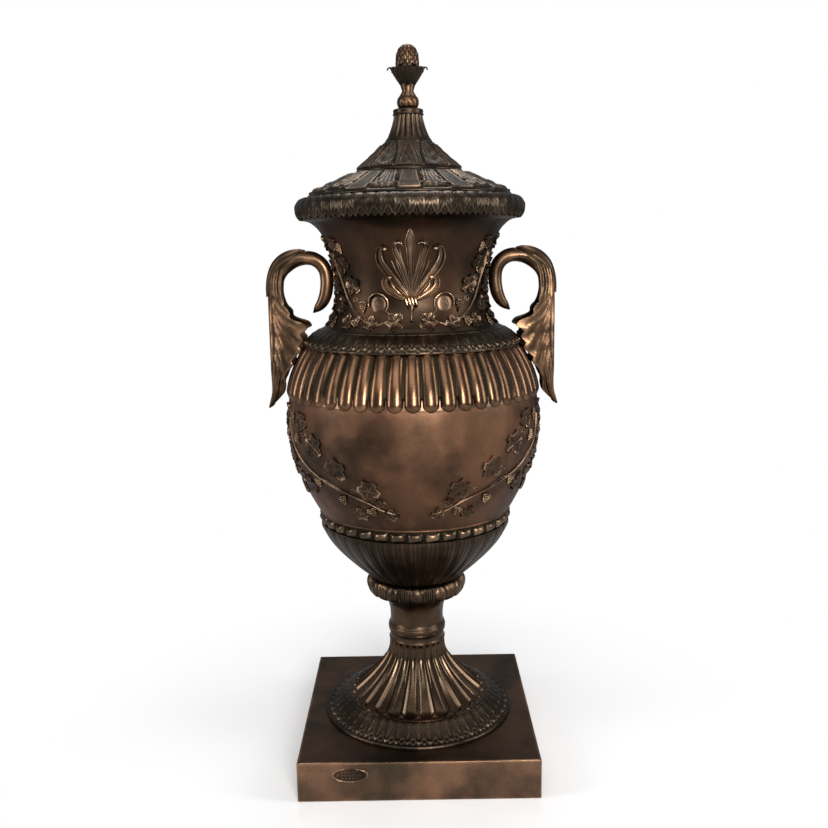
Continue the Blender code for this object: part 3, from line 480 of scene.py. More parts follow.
def collar_relief(across, along):
    """Plump lobes between groups of upright ribs."""
    share = (along - 3) / 22
    pillow = unit(1 - (across / 0.24) ** 2 - (1.9 * (share - 0.5)) ** 2)
    beside_pillow = np.abs(cell(across + 0.5))
    ribs = smooth(0.27, 0.22, beside_pillow) * (0.5 + 0.5 * np.cos(tau * beside_pillow / 0.085))
    shape = smooth(-0.05, 0.12, share) * smooth(1.05, 0.85, share)
    return 1.9 * np.sqrt(pillow) + 1.1 * ribs * shape


def lid_band_relief(across, along):
    """A curled shell leaf in the middle of each cell and half a plain tongue on each side of it."""
    across = cell(across + 0.5)
    start, off = along - 12.5, np.abs(across)
    share = unit(start / 46)
    half = mix(0.29, 0.2, share) * (1 + 0.08 * np.cos(tau * 4 * share))
    inside = smooth(0, 0.02, half - off) * smooth(0, 1.2, start - 10 * off)
    fan = 0.75 * (0.5 + 0.5 * np.cos(tau * off / (0.105 - 0.04 * share)))
    curl = 1.9 * bump(share - 0.12, 0.08) * bump(off - 0.15, 0.07)
    fold = 1.2 * bump(share - 0.42, 0.07) * bump(off - 0.19, 0.05)
    eye = bump(share - 0.1, 0.06) * bump(across, 0.05)
    shell = inside * (1.5 + fan + curl + fold + eye)
    beside_shell = np.abs(cell(across + 0.5))
    tongue = smooth(0.235, 0.205, beside_shell) * smooth(0, 0.8, start + 2)
    tongue_edge = bump(beside_shell - 0.185, 0.018) * 0.5
    flat = tongue * (1.9 + tongue_edge) - 0.5 * tongue * smooth(6, 14, start)
    return np.maximum(shell, flat) * smooth(46, 43, start)


def lid_leaf_relief(across, along):
    """Broad rounded leaves with a raised edge, a midrib and fine ribs, over small ones behind."""
    length, top = 42, 0.86
    share, off = unit((along - 5.2) / length), np.abs(across)
    half = 0.46 * np.sqrt(unit(1 - ((share - 0.2) / (top - 0.2)) ** 2)) ** 0.8
    half = np.where(share < 0.2, 0.46, half) * np.ones_like(across)
    inside = smooth(0, 0.03, half - off) * smooth(top, top - 0.02, share)
    edge = 0.9 * bump(half - off - 0.04, 0.035)
    inner = 0.6 * bump(half - off - 0.17, 0.03)
    rib = 0.5 * bump(across, 0.02)
    veins = 0.14 * np.cos(tau * (3.5 * share - 1.6 * off))
    behind = 0.7 * smooth(0.32, 0.28, np.abs(cell(across + 0.5))) * smooth(0.95, 0.9, share)
    leaves = np.maximum(inside * (1.4 + edge + inner + rib + veins), behind)
    return leaves * smooth(0, 0.03, share + 0.02) * smooth(5, 5.6, along)


def lid_neck_relief(across, along):
    """Round ribs under the lid's collar, fading into the leaves below."""
    rib = dome(across / 0.42) - 1
    return 1.3 * rib * smooth(0, 8, along) * smooth(30.5, 28, along)


def plain(across, along):
    return 0 * across * along


# Materials

def ramp(tree, low, high, source=None):
    """A smooth step from 0 to 1 between two values."""
    made = settle(node(tree, "ShaderNodeMapRange", interpolation_type="SMOOTHSTEP", clamp=True),
                  ("From Min", low), ("From Max", high))
    if source:
        tree.links.new(source, made.inputs["Value"])
    return made


def noise(tree, scale, detail, source):
    made = settle(node(tree, "ShaderNodeTexNoise"), ("Scale", scale), ("Detail", detail))
    tree.links.new(source, made.inputs["Vector"])
    return made.outputs["Fac"]


def blend_colors(tree, factor, first, second):
    made = node(tree, "ShaderNodeMix", data_type="RGBA")
    for socket, source in zip((made.inputs[0], made.inputs[6], made.inputs[7]), (factor, first, second)):
        tree.links.new(source, socket)
    return made.outputs[2]


def math_node(tree, operation, first, second):
    made = node(tree, "ShaderNodeMath", operation=operation)
    for socket, value in zip(made.inputs, (first, second)):
        if isinstance(value, (int, float)):
            socket.default_value = value
        else:
            tree.links.new(value, socket)
    return made.outputs[0]


def patina_group():
    """Brown patina: clouds of two browns, worn copper on high places, and dark green in the low ones, which is
    patina and dirt there and also painted shade.
    """
    tree = bpy.data.node_groups.new("bronze_patina", "ShaderNodeTree")
    for label in ("Dark", "Brown", "Copper", "Recess"):
        tree.interface.new_socket(label, in_out="INPUT", socket_type="NodeSocketColor")
    for label in ("Wear", "Clouds", "Grime_and_shade", "Dull"):
        tree.interface.new_socket(label, in_out="INPUT", socket_type="NodeSocketFloat")
    for label, kind in (("Color", "Color"), ("Roughness", "Float"), ("Height", "Float")):
        tree.interface.new_socket(label, in_out="OUTPUT", socket_type="NodeSocket" + kind)
    given, result = node(tree, "NodeGroupInput"), node(tree, "NodeGroupOutput")
    dark, brown, copper, recess, wear, clouded, grime_and_shade, dull = given.outputs[:8]
    place = node(tree, "ShaderNodeTexCoord").outputs["Object"]
    worn, deep = (node(tree, "ShaderNodeAttribute", attribute_name=label).outputs["Fac"]
                  for label in ("worn", "deep"))

    def times(first, second):
        return math_node(tree, "MULTIPLY", first, second)

    def plus(first, second):
        return math_node(tree, "ADD", first, second)

    clouds, smears, specks, grain = (noise(tree, scale, detail, place)
                                     for scale, detail in ((14, 4), (46, 5), (420, 3), (1500, 2)))
    cloud, smear, fleck = (ramp(tree, low, high, source).outputs[0] for low, high, source in (
        (0.36, 0.66, clouds), (0.42, 0.68, smears), (0.62, 0.72, specks)))
    rubbed = times(times(worn, plus(0.35, smear)), wear)
    # The low places take the dark recess colour: patina and dirt in the hollows, and painted shade there as
    # well.
    dirt_and_shade = times(deep, grime_and_shade)
    color = blend_colors(tree, plus(times(cloud, clouded), times(smear, 0.28)), dark, brown)
    color = blend_colors(tree, rubbed, color, copper)
    color = blend_colors(tree, dirt_and_shade, color, recess)
    color = blend_colors(tree, times(fleck, 0.35), color, recess)
    rough = plus(plus(dull, times(smears, 0.2)), times(dirt_and_shade, 0.22))
    rough = math_node(tree, "SUBTRACT", rough, times(rubbed, 0.1))
    height = plus(plus(times(grain, 0.25), times(specks, 0.6)), smears)
    for label, source in (("Color", color), ("Roughness", rough), ("Height", height)):
        tree.links.new(source, result.inputs[label])
    return tree


PATINA = patina_group()
COPPER = (0.6, 0.35, 0.2)
# Recess colour of the low places: green-black patina and dirt, used as painted shade there too.
GREEN = (0.014, 0.014, 0.009)


def bronze(name, dark, brown, copper, wear, clouds, grime_and_shade, relief=0.25, dull=0.22, recess=GREEN):
    """One casting's bronze: the shared patina with its own colours, on a metal shader."""
    material = bpy.data.materials.new(name)
    material.use_nodes = True
    tree = material.node_tree
    shader = tree.nodes["Principled BSDF"]
    patina = settle(node(tree, "ShaderNodeGroup", node_tree=PATINA), ("Dark", (*dark, 1)),
                    ("Brown", (*brown, 1)), ("Copper", (*copper, 1)), ("Recess", (*recess, 1)),
                    ("Wear", wear), ("Clouds", clouds), ("Grime_and_shade", grime_and_shade), ("Dull", dull))
    surface = settle(node(tree, "ShaderNodeBump"), ("Strength", relief), ("Distance", 0.0006))
    settle(shader, ("Metallic", 1))
    wire(tree, (patina, "Color", shader, "Base Color"), (patina, "Roughness", shader, "Roughness"),
         (patina, "Height", surface, "Height"), (surface, "Normal", shader, "Normal"))
    return material


belly_bronze = bronze("belly_bronze", (0.06, 0.037, 0.024), (0.22, 0.11, 0.064), COPPER,
                      0.5, 0.75, 0.7, 0.2, 0.36)
neck_bronze = bronze("neck_bronze", (0.025, 0.019, 0.013), (0.085, 0.045, 0.027), COPPER,
                     0.5, 0.8, 0.7, 0.2, 0.3)
gadroon_bronze = bronze("gadroon_bronze", (0.06, 0.037, 0.023), (0.173, 0.089, 0.049), (0.48, 0.27, 0.15),
                        0.4, 0.8, 0.9, 0.1, 0.17)
leaf_bronze = bronze("leaf_band_bronze", (0.036, 0.028, 0.02), (0.085, 0.06, 0.041), (0.5, 0.33, 0.21),
                     0.35, 0.6, 0.7)
bowl_bronze = bronze("bowl_bronze", (0.034, 0.026, 0.018), (0.075, 0.051, 0.034), COPPER, 0.15, 0.6, 0.6, 0.2)
tab_bronze = bronze("tab_bronze", (0.04, 0.03, 0.02), (0.1, 0.066, 0.042), (0.6, 0.4, 0.25), 0.3, 0.6, 0.9, 0.1)
relief_bronze = bronze("relief_bronze", (0.045, 0.03, 0.02), (0.13, 0.072, 0.044), (0.75, 0.5, 0.31),
                       0.65, 0.6, 0.8, 0.2)
palmette_bronze = bronze("palmette_bronze", (0.06, 0.037, 0.024), (0.14, 0.075, 0.045), (0.95, 0.68, 0.46),
                         1, 0.6, 0.9, 0.1)
handle_bronze = bronze("handle_bronze", (0.06, 0.037, 0.023), (0.196, 0.106, 0.06), (0.55, 0.33, 0.185),
                       0.45, 0.8, 0.8, 0.1, 0.24)
foot_bronze = bronze("foot_bronze", (0.045, 0.032, 0.022), (0.15, 0.092, 0.057), (0.5, 0.31, 0.19),
                     0.4, 0.7, 0.8, 0.2)
flute_bronze = bronze("flute_bronze", (0.07, 0.048, 0.031), (0.172, 0.103, 0.063), (0.5, 0.31, 0.19),
                      0.12, 0.7, 0.4, 0.1, 0.12)
# Brighter browns than the other castings: a painted reflection of the pale floor on the plinth. Its near-black
# recess colour paints the shade on the plinth's top.
plinth_bronze = bronze("plinth_bronze", (0.11, 0.078, 0.052), (0.38, 0.207, 0.127), COPPER, 0.6, 0.8, 1,
                       recess=(0.012, 0.011, 0.009))
lid_bronze = bronze("lid_bronze", (0.038, 0.03, 0.022), (0.09, 0.06, 0.041), (0.45, 0.29, 0.18), 0.4, 0.7, 0.8)


# Bands of the foot, bowl, belly, shoulder, neck and rim

def vessel_bands():
    flange = through([(105, 43.2), (105, 45.6), (104.2, 46.9), (101.5, 47.4), (98, 48.6), (92, 52),
                      (85, 57), (79.6, 60.8), (77.4, 61.6)], 44)
    band("foot_flange", flange, 52, 10, flange_relief, leaf_bronze, ("foot",), back=1.8)
    trumpet_path = [(78.6, 60.6), (78, 61.8), (76.8, 62.4), (76.2, 62.6)]
    for share in (0.06, 0.14, 0.25, 0.38, 0.52, 0.66, 0.8, 0.92, 1):
        trumpet_path.append((mix(31.6, 76.5, (1 - share) ** 1.5), mix(61.6, 113.6, share)))
    trumpet_path += [(31.3, 117.5), (31, 121.5), (30.8, 126)]
    band("foot_trumpet", through(trumpet_path, 58), 26, 18, trumpet_relief, flute_bronze,
         rubbed=lambda share: 0.25)
    stem = straight([(30.4, 124.8), (31.4, 125.6), (31.4, 126.8), (30.4, 127.8), (30, 131.5), (30.6, 134.5),
                     (31.7, 135.8), (31.2, 136.8), (32, 137.8), (31.9, 141.4), (31, 142.4), (31.3, 143.4),
                     (30.2, 144.6), (29.5, 147)], 56)
    shaft = through([(29.5, 147), (29.4, 152), (29.7, 158), (30.5, 163.5), (32, 168.6), (34.6, 172.8),
                     (38.6, 176.6), (43.2, 179.6), (47.4, 181.6)], 30)
    band("foot_stem", np.vstack((stem, shaft[1:])), 12, 5, plain, foot_bronze)
    collar = through([(45.8, 180.2), (49.4, 182), (52.2, 185.4), (53.3, 190), (53, 194.6), (51.4, 198),
                      (48.6, 199.8), (44, 200.2)], 36)
    band("foot_collar", collar, 12, 36, collar_relief, foot_bronze)

    bowl = [(44, 200.7)]
    for share in (0, 0.12, 0.26, 0.4, 0.55, 0.7, 0.84, 0.95):
        z = mix(BODY_BASE + 0.4, LEDGE_BASE, share)
        bowl.append((float(bowl_radius(z)) - 0.6, z))
    bowl.append((102.2, LEDGE_BASE))
    band("bowl_tongues", through(bowl, 40), 36, 14, bowl_relief, bowl_bronze, ("body",))
    ledge = through([(99.6, 263.6), (100.8, 266), (101.2, 270), (101.4, 276), (101.6, 279.8)], 22)
    band("bowl_tabs", ledge, 36, 14, tab_relief, tab_bronze, soften=(6, 5), sharp=80)

    lip = [(100.5, 277.4), (103, 277.8), (103.9, 278.6), (104.2, 279.6), (103.8, 280.4)]
    belly = [(103.8, 280.4)]
    for z in np.linspace(BELLY_BASE + 2, BELLY_TOP, 12):
        belly.append((float(belly_radius(z)), z))
    belly.extend([(float(belly_radius(392)), 392), (133.4, 399), (132.4, 405), (129, 411)])
    path = np.vstack((straight(lip, 10), through(belly, 54)[1:]))
    band("belly_shell", path, 32, 4, plain, belly_bronze)

    gadroons = [(128.4, 401.4), (130, 402.6), (130.4, 405.4)]
    for z in np.linspace(GADROON_BASE + 10, SHOULDER_BASE - 2, 8):
        gadroons.append((float(gadroon_radius(z)) - mix(*LOBE_LIFT, (z - GADROON_BASE) / 60), z))
    gadroons.append((110, SHOULDER_BASE + 1.4))
    # Wear fades up the gadroons: worn copper at their heavy lower ends, which also paints their highlights
    # there.
    band("gadroons", through(gadroons, 50), GADROONS, 12, gadroon_relief, gadroon_bronze,
         rubbed=lambda share: mix(1, 0.1, smooth(0.12, 0.6, share)))

    shoulder = through([(112, 457.4), (114, 458.2), (114.6, 459.8), (113.6, 461.4), (111, 464),
                        (107.6, 467.2), (103.4, 470.4), (98.6, 473.4), (95.6, 475), (94.4, 475.8),
                        (93.6, 476.6), (92.6, 478), (91.4, 479.8)], 42)
    band("shoulder_leaves", shoulder, 60, 10, shoulder_relief, leaf_bronze)

    neck = [(float(neck_radius(z)), z) for z in np.linspace(477.6, NECK_TOP, 16)]
    neck.extend([(96, 577.6), (99.8, 581.4), (104.2, 584.8), (107.6, 586.6)])
    band("neck_shell", through(neck, 58), 32, 4, plain, neck_bronze, back=2.6)

    rim = through([(104.6, 585), (108.4, 586.4), (112.4, 588), (115.6, 590.6), (117.6, 594.4), (118.2, 598.6),
                   (117.4, 602.6), (115.2, 605.8), (112, 607.8), (109, 608.6), (106.6, 608.2)], 46)
    band("rim_leaves", rim, 56, 12, rim_relief, leaf_bronze)
    inside = through([(107.4, 607.8), (103, 608.9), (99.4, 608.9), (98, 607.6), (98, 590), (89.6, 574),
                      (80.6, 552), (77.4, 536), (76.4, 512), (79.6, 492), (88, 475), (104, 458),
                      (124, 432), (131.6, 402), (131, 370), (120, 330), (99, 282),
                      (86, 252), (62, 222), (30, 214), (0, 212.6)], 70)
    band("vessel_inside", inside, 16, 4, plain, plinth_bronze, back=1)


def lid_bands():
    rim = through([(99, 609.5), (104.8, 609.5), (105.9, 610.3), (105.6, 611.6), (103.6, 613), (100.6, 614.2),
                   (96, 616.2), (89, 619.2), (80, 623.4), (70, 628.4), (61, 632.6), (55, 634.8)], 58)
    band("lid_shell_leaves", rim, 12, 44, lid_band_relief, lid_bronze, ("lid",), back=2)
    ledge = straight([(54, 633.6), (55, 634.4), (55.4, 635.4), (55, 636.4), (54, 637), (53.4, 638)], 14)
    upper = through([(53.4, 638), (46.5, 643.6), (38.6, 650.4), (31, 657.6), (25.4, 664), (23, 668)], 48)
    band("lid_leaves", np.vstack((ledge, upper[1:])), 12, 36, lid_leaf_relief, lid_bronze, back=2)
    neck = through([(24.2, 664.6), (21.8, 669.4), (19, 676), (16.8, 682.6), (15.4, 688), (14.8, 692.6)], 36)
    band("lid_ribs", neck, 18, 10, lid_neck_relief, lid_bronze, back=2)
    collar = straight([(13.6, 690.8), (15.6, 691.4), (16.2, 692.2), (15.5, 693), (15.3, 694.2), (15.7, 695.6),
                       (15.2, 697), (13.6, 697.5), (0.6, 697.5)], 50)
    band("lid_collar", collar, 16, 4, plain, lid_bronze, back=1.5)


# Relief swept and laid over the vessel

def lay(shell, azimuth, z, u, v, height, worn, deep):
    """Lays a grid over the vessel, with u round and v up from a place on it, and its border sunk."""
    shell.add(on_vessel(*beside(azimuth, z, u, v), height)[::-1], worn[::-1], deep[::-1])


def vine_bead(shell, azimuth, z, path, count, lift, sides=9, worn=0.5):
    """Sweeps a ridge over the vessel. path rows are (u, v, half width) from a place on it, in millimetres."""
    rows = through(path, count)
    side = normals(rows[:, :2])
    half = np.maximum(rows[:, 2:3], 0.02)
    x = np.linspace(-1, 1, sides)[None, :]
    section = dome(x)
    height = lift * section * np.clip(half / 1.2, 0.15, 1) - 0.12
    u, v = (rows[:, k:k + 1] + side[:, k:k + 1] * half * x for k in (0, 1))
    u, v = np.hstack((u, u[:, ::-1])), np.hstack((v, v[:, ::-1]))
    height = np.hstack((height, np.full_like(height, -SUNK)))
    top = unit(section) ** 3 + np.zeros_like(half)
    wear = np.hstack((worn * top, 0 * top))
    # The ridge's flanks and its sunk border take the recess colour: patina and dirt, and painted shade where
    # the ridge meets the skin.
    grime_and_shade = np.hstack((0.8 * (1 - section) ** 2 + np.zeros_like(half), 1 + 0 * top))
    lay(shell, azimuth, z, u, v, height, wear, grime_and_shade)


LEAF_TURNS = np.array([0, 12, 24, 32, 44, 60, 76, 86, 98, 116, 134, 150, 166, 180]) / 360
LEAF_REACH = np.array([1, 0.88, 0.7, 0.74, 0.9, 0.98, 0.84, 0.68, 0.74, 0.9, 0.88, 0.7, 0.6, 0.24])
LOBES = (0, 0.172, 0.36, 0.64, 0.828)


def vine_leaf(shell, azimuth, z, size, turn, lift):
    """A five-lobed vine leaf in low relief: toothed raised edge, veins and hollows between them."""
    turns = np.arange(60) / 60
    folded = np.minimum(turns, 1 - turns)
    reach = np.interp(folded, LEAF_TURNS, LEAF_REACH) * (1 + 0.06 * np.cos(tau * 15 * folded))
    rho = np.array([0, 0.2, 0.42, 0.64, 0.82, 0.93, 1, 1])[:, None]
    distance = 0.5 * size * reach[None, :] * rho
    vein = np.zeros_like(distance)
    for lobe in LOBES:
        away = np.abs(cell(turns - lobe))[None, :] * tau * distance
        vein = np.maximum(vein, bump(away, 0.7) * (1 - 0.6 * rho))
    edge = bump(rho - 0.95, 0.1) + np.zeros_like(distance)
    wave = 0.4 * lift * smooth(0.3, 0.9, rho) * np.cos(tau * 5 * turns)[None, :]
    height = lift * (0.5 + 0.35 * rho ** 2) + 0.55 * vein * (1 - 0.5 * rho) + 0.5 * edge + wave
    height[-1] = -SUNK
    angle = tau * turns[None, :] + turn
    side = 0.55 + 0.45 * np.cos(tau * (turns - 0.85) * 2)[None, :]
    wear = unit(0.25 * vein + 0.9 * edge * side)
    # Between the veins and on the sunk border the leaf takes the recess colour: patina and dirt, and painted
    # shade there.
    grime_and_shade = unit(0.15 * (1 - vein) * smooth(0.9, 0.5, rho))
    wear[-1], grime_and_shade[-1] = 0, 1
    lay(shell, azimuth, z, distance * np.sin(angle), distance * np.cos(angle), height, wear, grime_and_shade)


def boss(shell, azimuth, z, u, v, size, lift, worn):
    """A small round knob."""
    rho = np.array([0, 0.35, 0.65, 0.88, 1, 1])[:, None]
    turns = tau * np.arange(14)[None, :] / 14
    height = lift * dome(rho) + 0 * turns
    height[-1] = -SUNK
    wear = worn * (1 - rho ** 4) + 0 * turns
    reach = size * rho
    lay(shell, azimuth, z, u + reach * np.sin(turns), v + reach * np.cos(turns), height, wear, 0 * wear)


class Grapes:
    """Collects the places and sizes of the grapes in the bunches."""

    def __init__(self):
        self.places, self.sizes = [], []

    def bunch(self, azimuth, z, turn, length, size, seed):
        rng = np.random.default_rng(seed)
        for row, wide in enumerate((4, 5, 4, 3, 2, 1)):
            for k in range(wide):
                u = (k - 0.5 * (wide - 1)) * 1.7 * size + rng.uniform(-0.3, 0.3)
                v = 0.4 * length - row * length / 5.6 + rng.uniform(-0.4, 0.4)
                place = beside(azimuth, z, u * cos(turn) + v * sin(turn), v * cos(turn) - u * sin(turn))
                lift = size * (0.6 + 0.5 * (1 - abs(k - 0.5 * (wide - 1)) / (0.5 * wide + 0.5)))
                self.places.append(on_vessel(*place, lift))
                self.sizes.append(size * rng.uniform(0.85, 1.1) * MM)

    def piece(self, name, material, slot):
        mesh = bpy.data.meshes.new(name)
        mesh.from_pydata([tuple(place) for place in self.places], [], [])
        layer = mesh.attributes.new("size", "FLOAT", "POINT")
        layer.data.foreach_set("value", np.array(self.sizes, dtype=np.float32))
        finish_piece(name, grown(name, mesh, GRAPES, {"Material": material}), material)


def tendril(shell, azimuth, z, way, size):
    """A thin stem that coils inwards."""
    path, turns = [], 1.3
    for k in range(16):
        angle = tau * turns * k / 15
        reach = size * (1 - 0.8 * k / 15)
        path.append((way * (size - reach * cos(angle)), reach * sin(angle), mix(0.7, 0.35, k / 15)))
    vine_bead(shell, azimuth, z, path, 26, 1.2, sides=5, worn=0.6)


# One side of each vine. Stems are (degrees from the face's middle, height), leaves add size and turn,
# bunches add turn and length.
BELLY_STEM = ((8, 300.5), (14.4, 304.4), (22.4, 313), (32, 321), (42.8, 330), (50, 337), (55.4, 343.4),
              (61, 353), (65.5, 364), (69, 378), (71, 394))
BELLY_LEAVES = ((11, 301, 17, 2), (20.5, 326, 26, 0.2), (35.8, 344, 28, 0.1), (47.6, 364.5, 28, 0.3),
                (27, 299.5, 18, 2.6), (15.5, 313, 12, 0.9), (57, 322, 23, 2.4), (57, 386, 24, 0.6),
                (71, 350, 26, 2), (67, 328, 22, 2.7), (84, 372, 28, 0.1), (80, 334, 24, 2.9),
                (75, 391, 22, 0.8))
BELLY_BUNCHES = ((20.6, 304, 2.6, 10), (35.4, 313.5, 2.4, 12), (49, 328.5, 2.4, 12), (61, 368, 1, 12),
                 (66, 388, 0.6, 12), (75, 371, 2, 13), (88, 350, 3.1, 15), (70, 312, 3, 12))
NECK_STEM = ((14, 487), (24, 483.5), (34, 488), (44, 497), (52, 510), (58, 526),
             (63, 543), (66, 560))
NECK_LEAVES = ((10, 486.5, 23, 1.75), (27, 485, 18, 2.3), (46, 486, 21, 2.6), (46, 520, 22, 0.2),
               (55, 541, 23, 0.6), (60, 502, 22, 2.2), (70, 521, 23, 1.6), (74, 489, 22, 2.9),
               (72, 546, 22, 0.9), (86, 535, 24, 0), (86, 506, 23, 3), (60, 562, 18, 0.4),
               (80, 564, 18, 0.8))
NECK_BUNCHES = ((36, 501, 0.3, 12), (39, 486.5, 2.6, 12), (64, 484, 3, 13), (54, 558, 0.6, 10),
                (80, 520, 3.1, 14))


def stem_path(places, way, half):
    """The places of a stem as millimetres round and up from its first place."""
    rows, v, last = [], 0, places[0]
    for degrees, height in places:
        slope = float(vessel_slope(0.5 * (height + last[1])))
        u = way * radians(degrees - places[0][0]) * float(vessel_radius(height))
        v += (height - last[1]) * sqrt(1 + slope * slope)
        rows.append((u, v, half))
        last = (degrees, height)
    return rows


def vines():
    """Stems, leaves, tendrils and grapes on belly and neck, mirrored about the front and the back."""
    belly, neck, grapes = Shell(), Shell(), Grapes()
    for face in (0, pi):
        for way in (1, -1):
            for shell, stem in ((belly, BELLY_STEM), (neck, NECK_STEM)):
                start, z = face + way * radians(stem[0][0]), stem[0][1]
                path = stem_path(stem, way, 1.1)
                path[0] = (*path[0][:2], 0.5)
                vine_bead(shell, start, z, path, 90, 2.2, worn=0.7)
                twin = [(u + 1.6 * sin(0.13 * u + 1), v + 2 * cos(0.16 * u), 0.75 * h) for u, v, h in path]
                vine_bead(shell, start, z, twin, 90, 1.9)
            for k, (degrees, z, size, turn) in enumerate(BELLY_LEAVES):
                turn = way * turn + 0.25 * sin(5 * k + way)
                vine_leaf(belly, face + way * radians(degrees), z, size, turn, 1.5 + 0.1 * (k % 4))
            for k, (degrees, z, size, turn) in enumerate(NECK_LEAVES):
                vine_leaf(neck, face + way * radians(degrees), z, size, way * turn, 1.6 + 0.1 * (k % 4))
            for bunches, size, seed in ((BELLY_BUNCHES, 1.35, 10), (NECK_BUNCHES, 1.25, 40)):
                for k, (degrees, z, turn, length) in enumerate(bunches):
                    grapes.bunch(face + way * radians(degrees), z, way * turn, length, size, seed + k)
            for shell, size, places in ((belly, 4, ((27, 323), (41, 342), (53.5, 374))),
                                        (neck, 3.5, ((42, 507), (52, 527)))):
                for degrees, z in places:
                    tendril(shell, face + way * radians(degrees), z, way, size)
    for name, shell in (("belly_vines", belly), ("neck_vines", neck)):
        cast(shell, name, relief_bronze, weld=2e-6)
    grapes.piece("grapes", relief_bronze, "body")


def mirrored(rows, way):
    return [(way * u, v, half) for u, v, half in rows]


def ridges(shell, face, base, rows, half, lift, count, worn):
    """A ribbon with a thin bright ridge along each edge and a low hollow between them."""
    vine_bead(shell, face, base, rows, count, 0.5 * lift, 7, 0.15)
    path = through(rows, 24)
    side = normals(path[:, :2])
    for way in (1, -1):
        edge = np.column_stack((path[:, :2] + way * side * path[:, 2:], np.minimum(0.5 * path[:, 2], half)))
        vine_bead(shell, face, base, edge, count, 2.4 * lift, 5, worn)


def palmette():
    """The palmette on the neck's front and back, with its knot, scrolls and fan of ribs."""
    shell = Shell()
    base = 506.7
    outer = ((1.6, 3.5, 1), (9, 12.5, 2), (17, 22, 2.8), (25, 32, 3.3), (29.6, 39.5, 3.2),
             (30.6, 46, 2.8), (28.6, 51.2, 2.3), (25.6, 52.4, 1.7))
    lower = ((2.5, 0.5, 1), (9, 3.2, 1.8), (16, 7, 2.5), (22, 11, 2.8), (25.4, 16.4, 2.5),
             (24.8, 21.4, 2), (21.6, 23.4, 1.5))
    inner = ((1, 6, 0.6), (4.4, 22, 1.4), (9.6, 38, 2.1), (14, 47, 2.2), (15.2, 52.4, 2),
             (12.6, 56.4, 1.7), (9.2, 56.4, 1.3), (7.4, 53.6, 0.8))
    tip = ((15.6, 51, 0.5), (14.6, 55.2, 0.9), (11.4, 57.6, 1.1), (8.4, 56.4, 0.9), (6.8, 53.2, 0.4))
    tail = ((25, -9.5, 0.4), (20, -14, 0.6), (13, -17, 0.5))
    lobe = ((8, 5.4, 0.4), (13, 9.4, 1.3), (17.6, 14.4, 1.5), (18.6, 18.4, 0.4))
    scroll, curl = [], []
    for k in range(28):
        angle = -0.75 + tau * 0.66 * k / 27
        scroll.append((33 - 10.6 * cos(angle), -3 + 10.6 * sin(angle), 0.4 + 0.8 * sin(pi * (k + 1) / 29)))
        angle = 0.6 + tau * 0.9 * k / 27
        reach = mix(4.4, 1, k / 27)
        curl.append((34 - reach * cos(angle), -3 + reach * sin(angle), 0.5))
    ribs = [((2.2, 6, 0.3), (0.45 * u, 0.5 * v, 0.6), (u, v, 0.8), (1.08 * u, 1.1 * v, 0.3))
            for u, v in ((9.5, 46), (13, 36), (17.2, 36))]
    leaf = ((0, 8, 1), (0, 34, 2.6), (0, 48, 3.2), (0, 57, 4.6), (0, 62, 3.6),
            (0, 68, 1.2), (0, 71, 0.2))
    midrib = ((0, 10, 0.3), (0, 40, 0.6), (0, 66, 0.2))
    cup = ((0, 5, 2.2), (0, 0, 6.8), (0, -6, 5), (0, -10, 2.4), (0, -14, 1.6),
           (0, -20, 1.8))
    stalk = ((0.2, -9, 0.4), (0.2, -15, 0.9), (0, -20, 1))

    for face in (0, pi):
        for way in (1, -1):
            for rows, half, lift, count, worn in ((outer, 0.9, 1.9, 48, 1), (lower, 0.85, 1.9, 40, 1),
                                                  (inner, 0.55, 1.5, 44, 0.6)):
                ridges(shell, face, base, mirrored(rows, way), half, lift, count, worn)
            for u, v, size, lift, worn in ((24.2, 51.2, 2.7, 4.8, 1), (19.8, 23.2, 2.6, 4.6, 1),
                                           (34, -3, 8.4, 1, 0.12)):
                boss(shell, face, base, way * u, v, size, lift, worn)
            for rows, count, lift, sides, worn in (
                    (tip, 26, 5, 7, 1), *((rib, 28, 1.5, 5, 0.4) for rib in ribs), (scroll, 40, 4, 7, 1),
                    (curl, 30, 4, 5, 0.55), (tail, 16, 1.4, 5, 0.8), (lobe, 20, 1.6, 7, 0.4)):
                vine_bead(shell, face, base, mirrored(rows, way), count, lift, sides, worn)
        ridges(shell, face, base, leaf, 0.55, 1.6, 50, 0.8)
        vine_bead(shell, face, base, midrib, 34, 2.4, 5, 0.4)
        for k, u in enumerate((-4.6, -1.6, 1.4, 4.4)):
            fold = ((u - 1.2, 5.4 - 1.1 * abs(k - 1.5), 0.7), (u - 0.2, 0.8, 1.5), (u + 0.9, -4.4, 1.25),
                    (u + 1.4, -6.8, 0.4))
            vine_bead(shell, face, base, fold, 20, 5.6, 7, 1)
        vine_bead(shell, face, base, cup, 36, 2.2, 9, 0)
        vine_bead(shell, face, base, stalk, 16, 4.2, 7, 1)
    cast(shell, "palmettes", palmette_bronze, weld=2e-6)


# Handles: a folded leaf that holds a round arm, and the pointed sheath over the arch

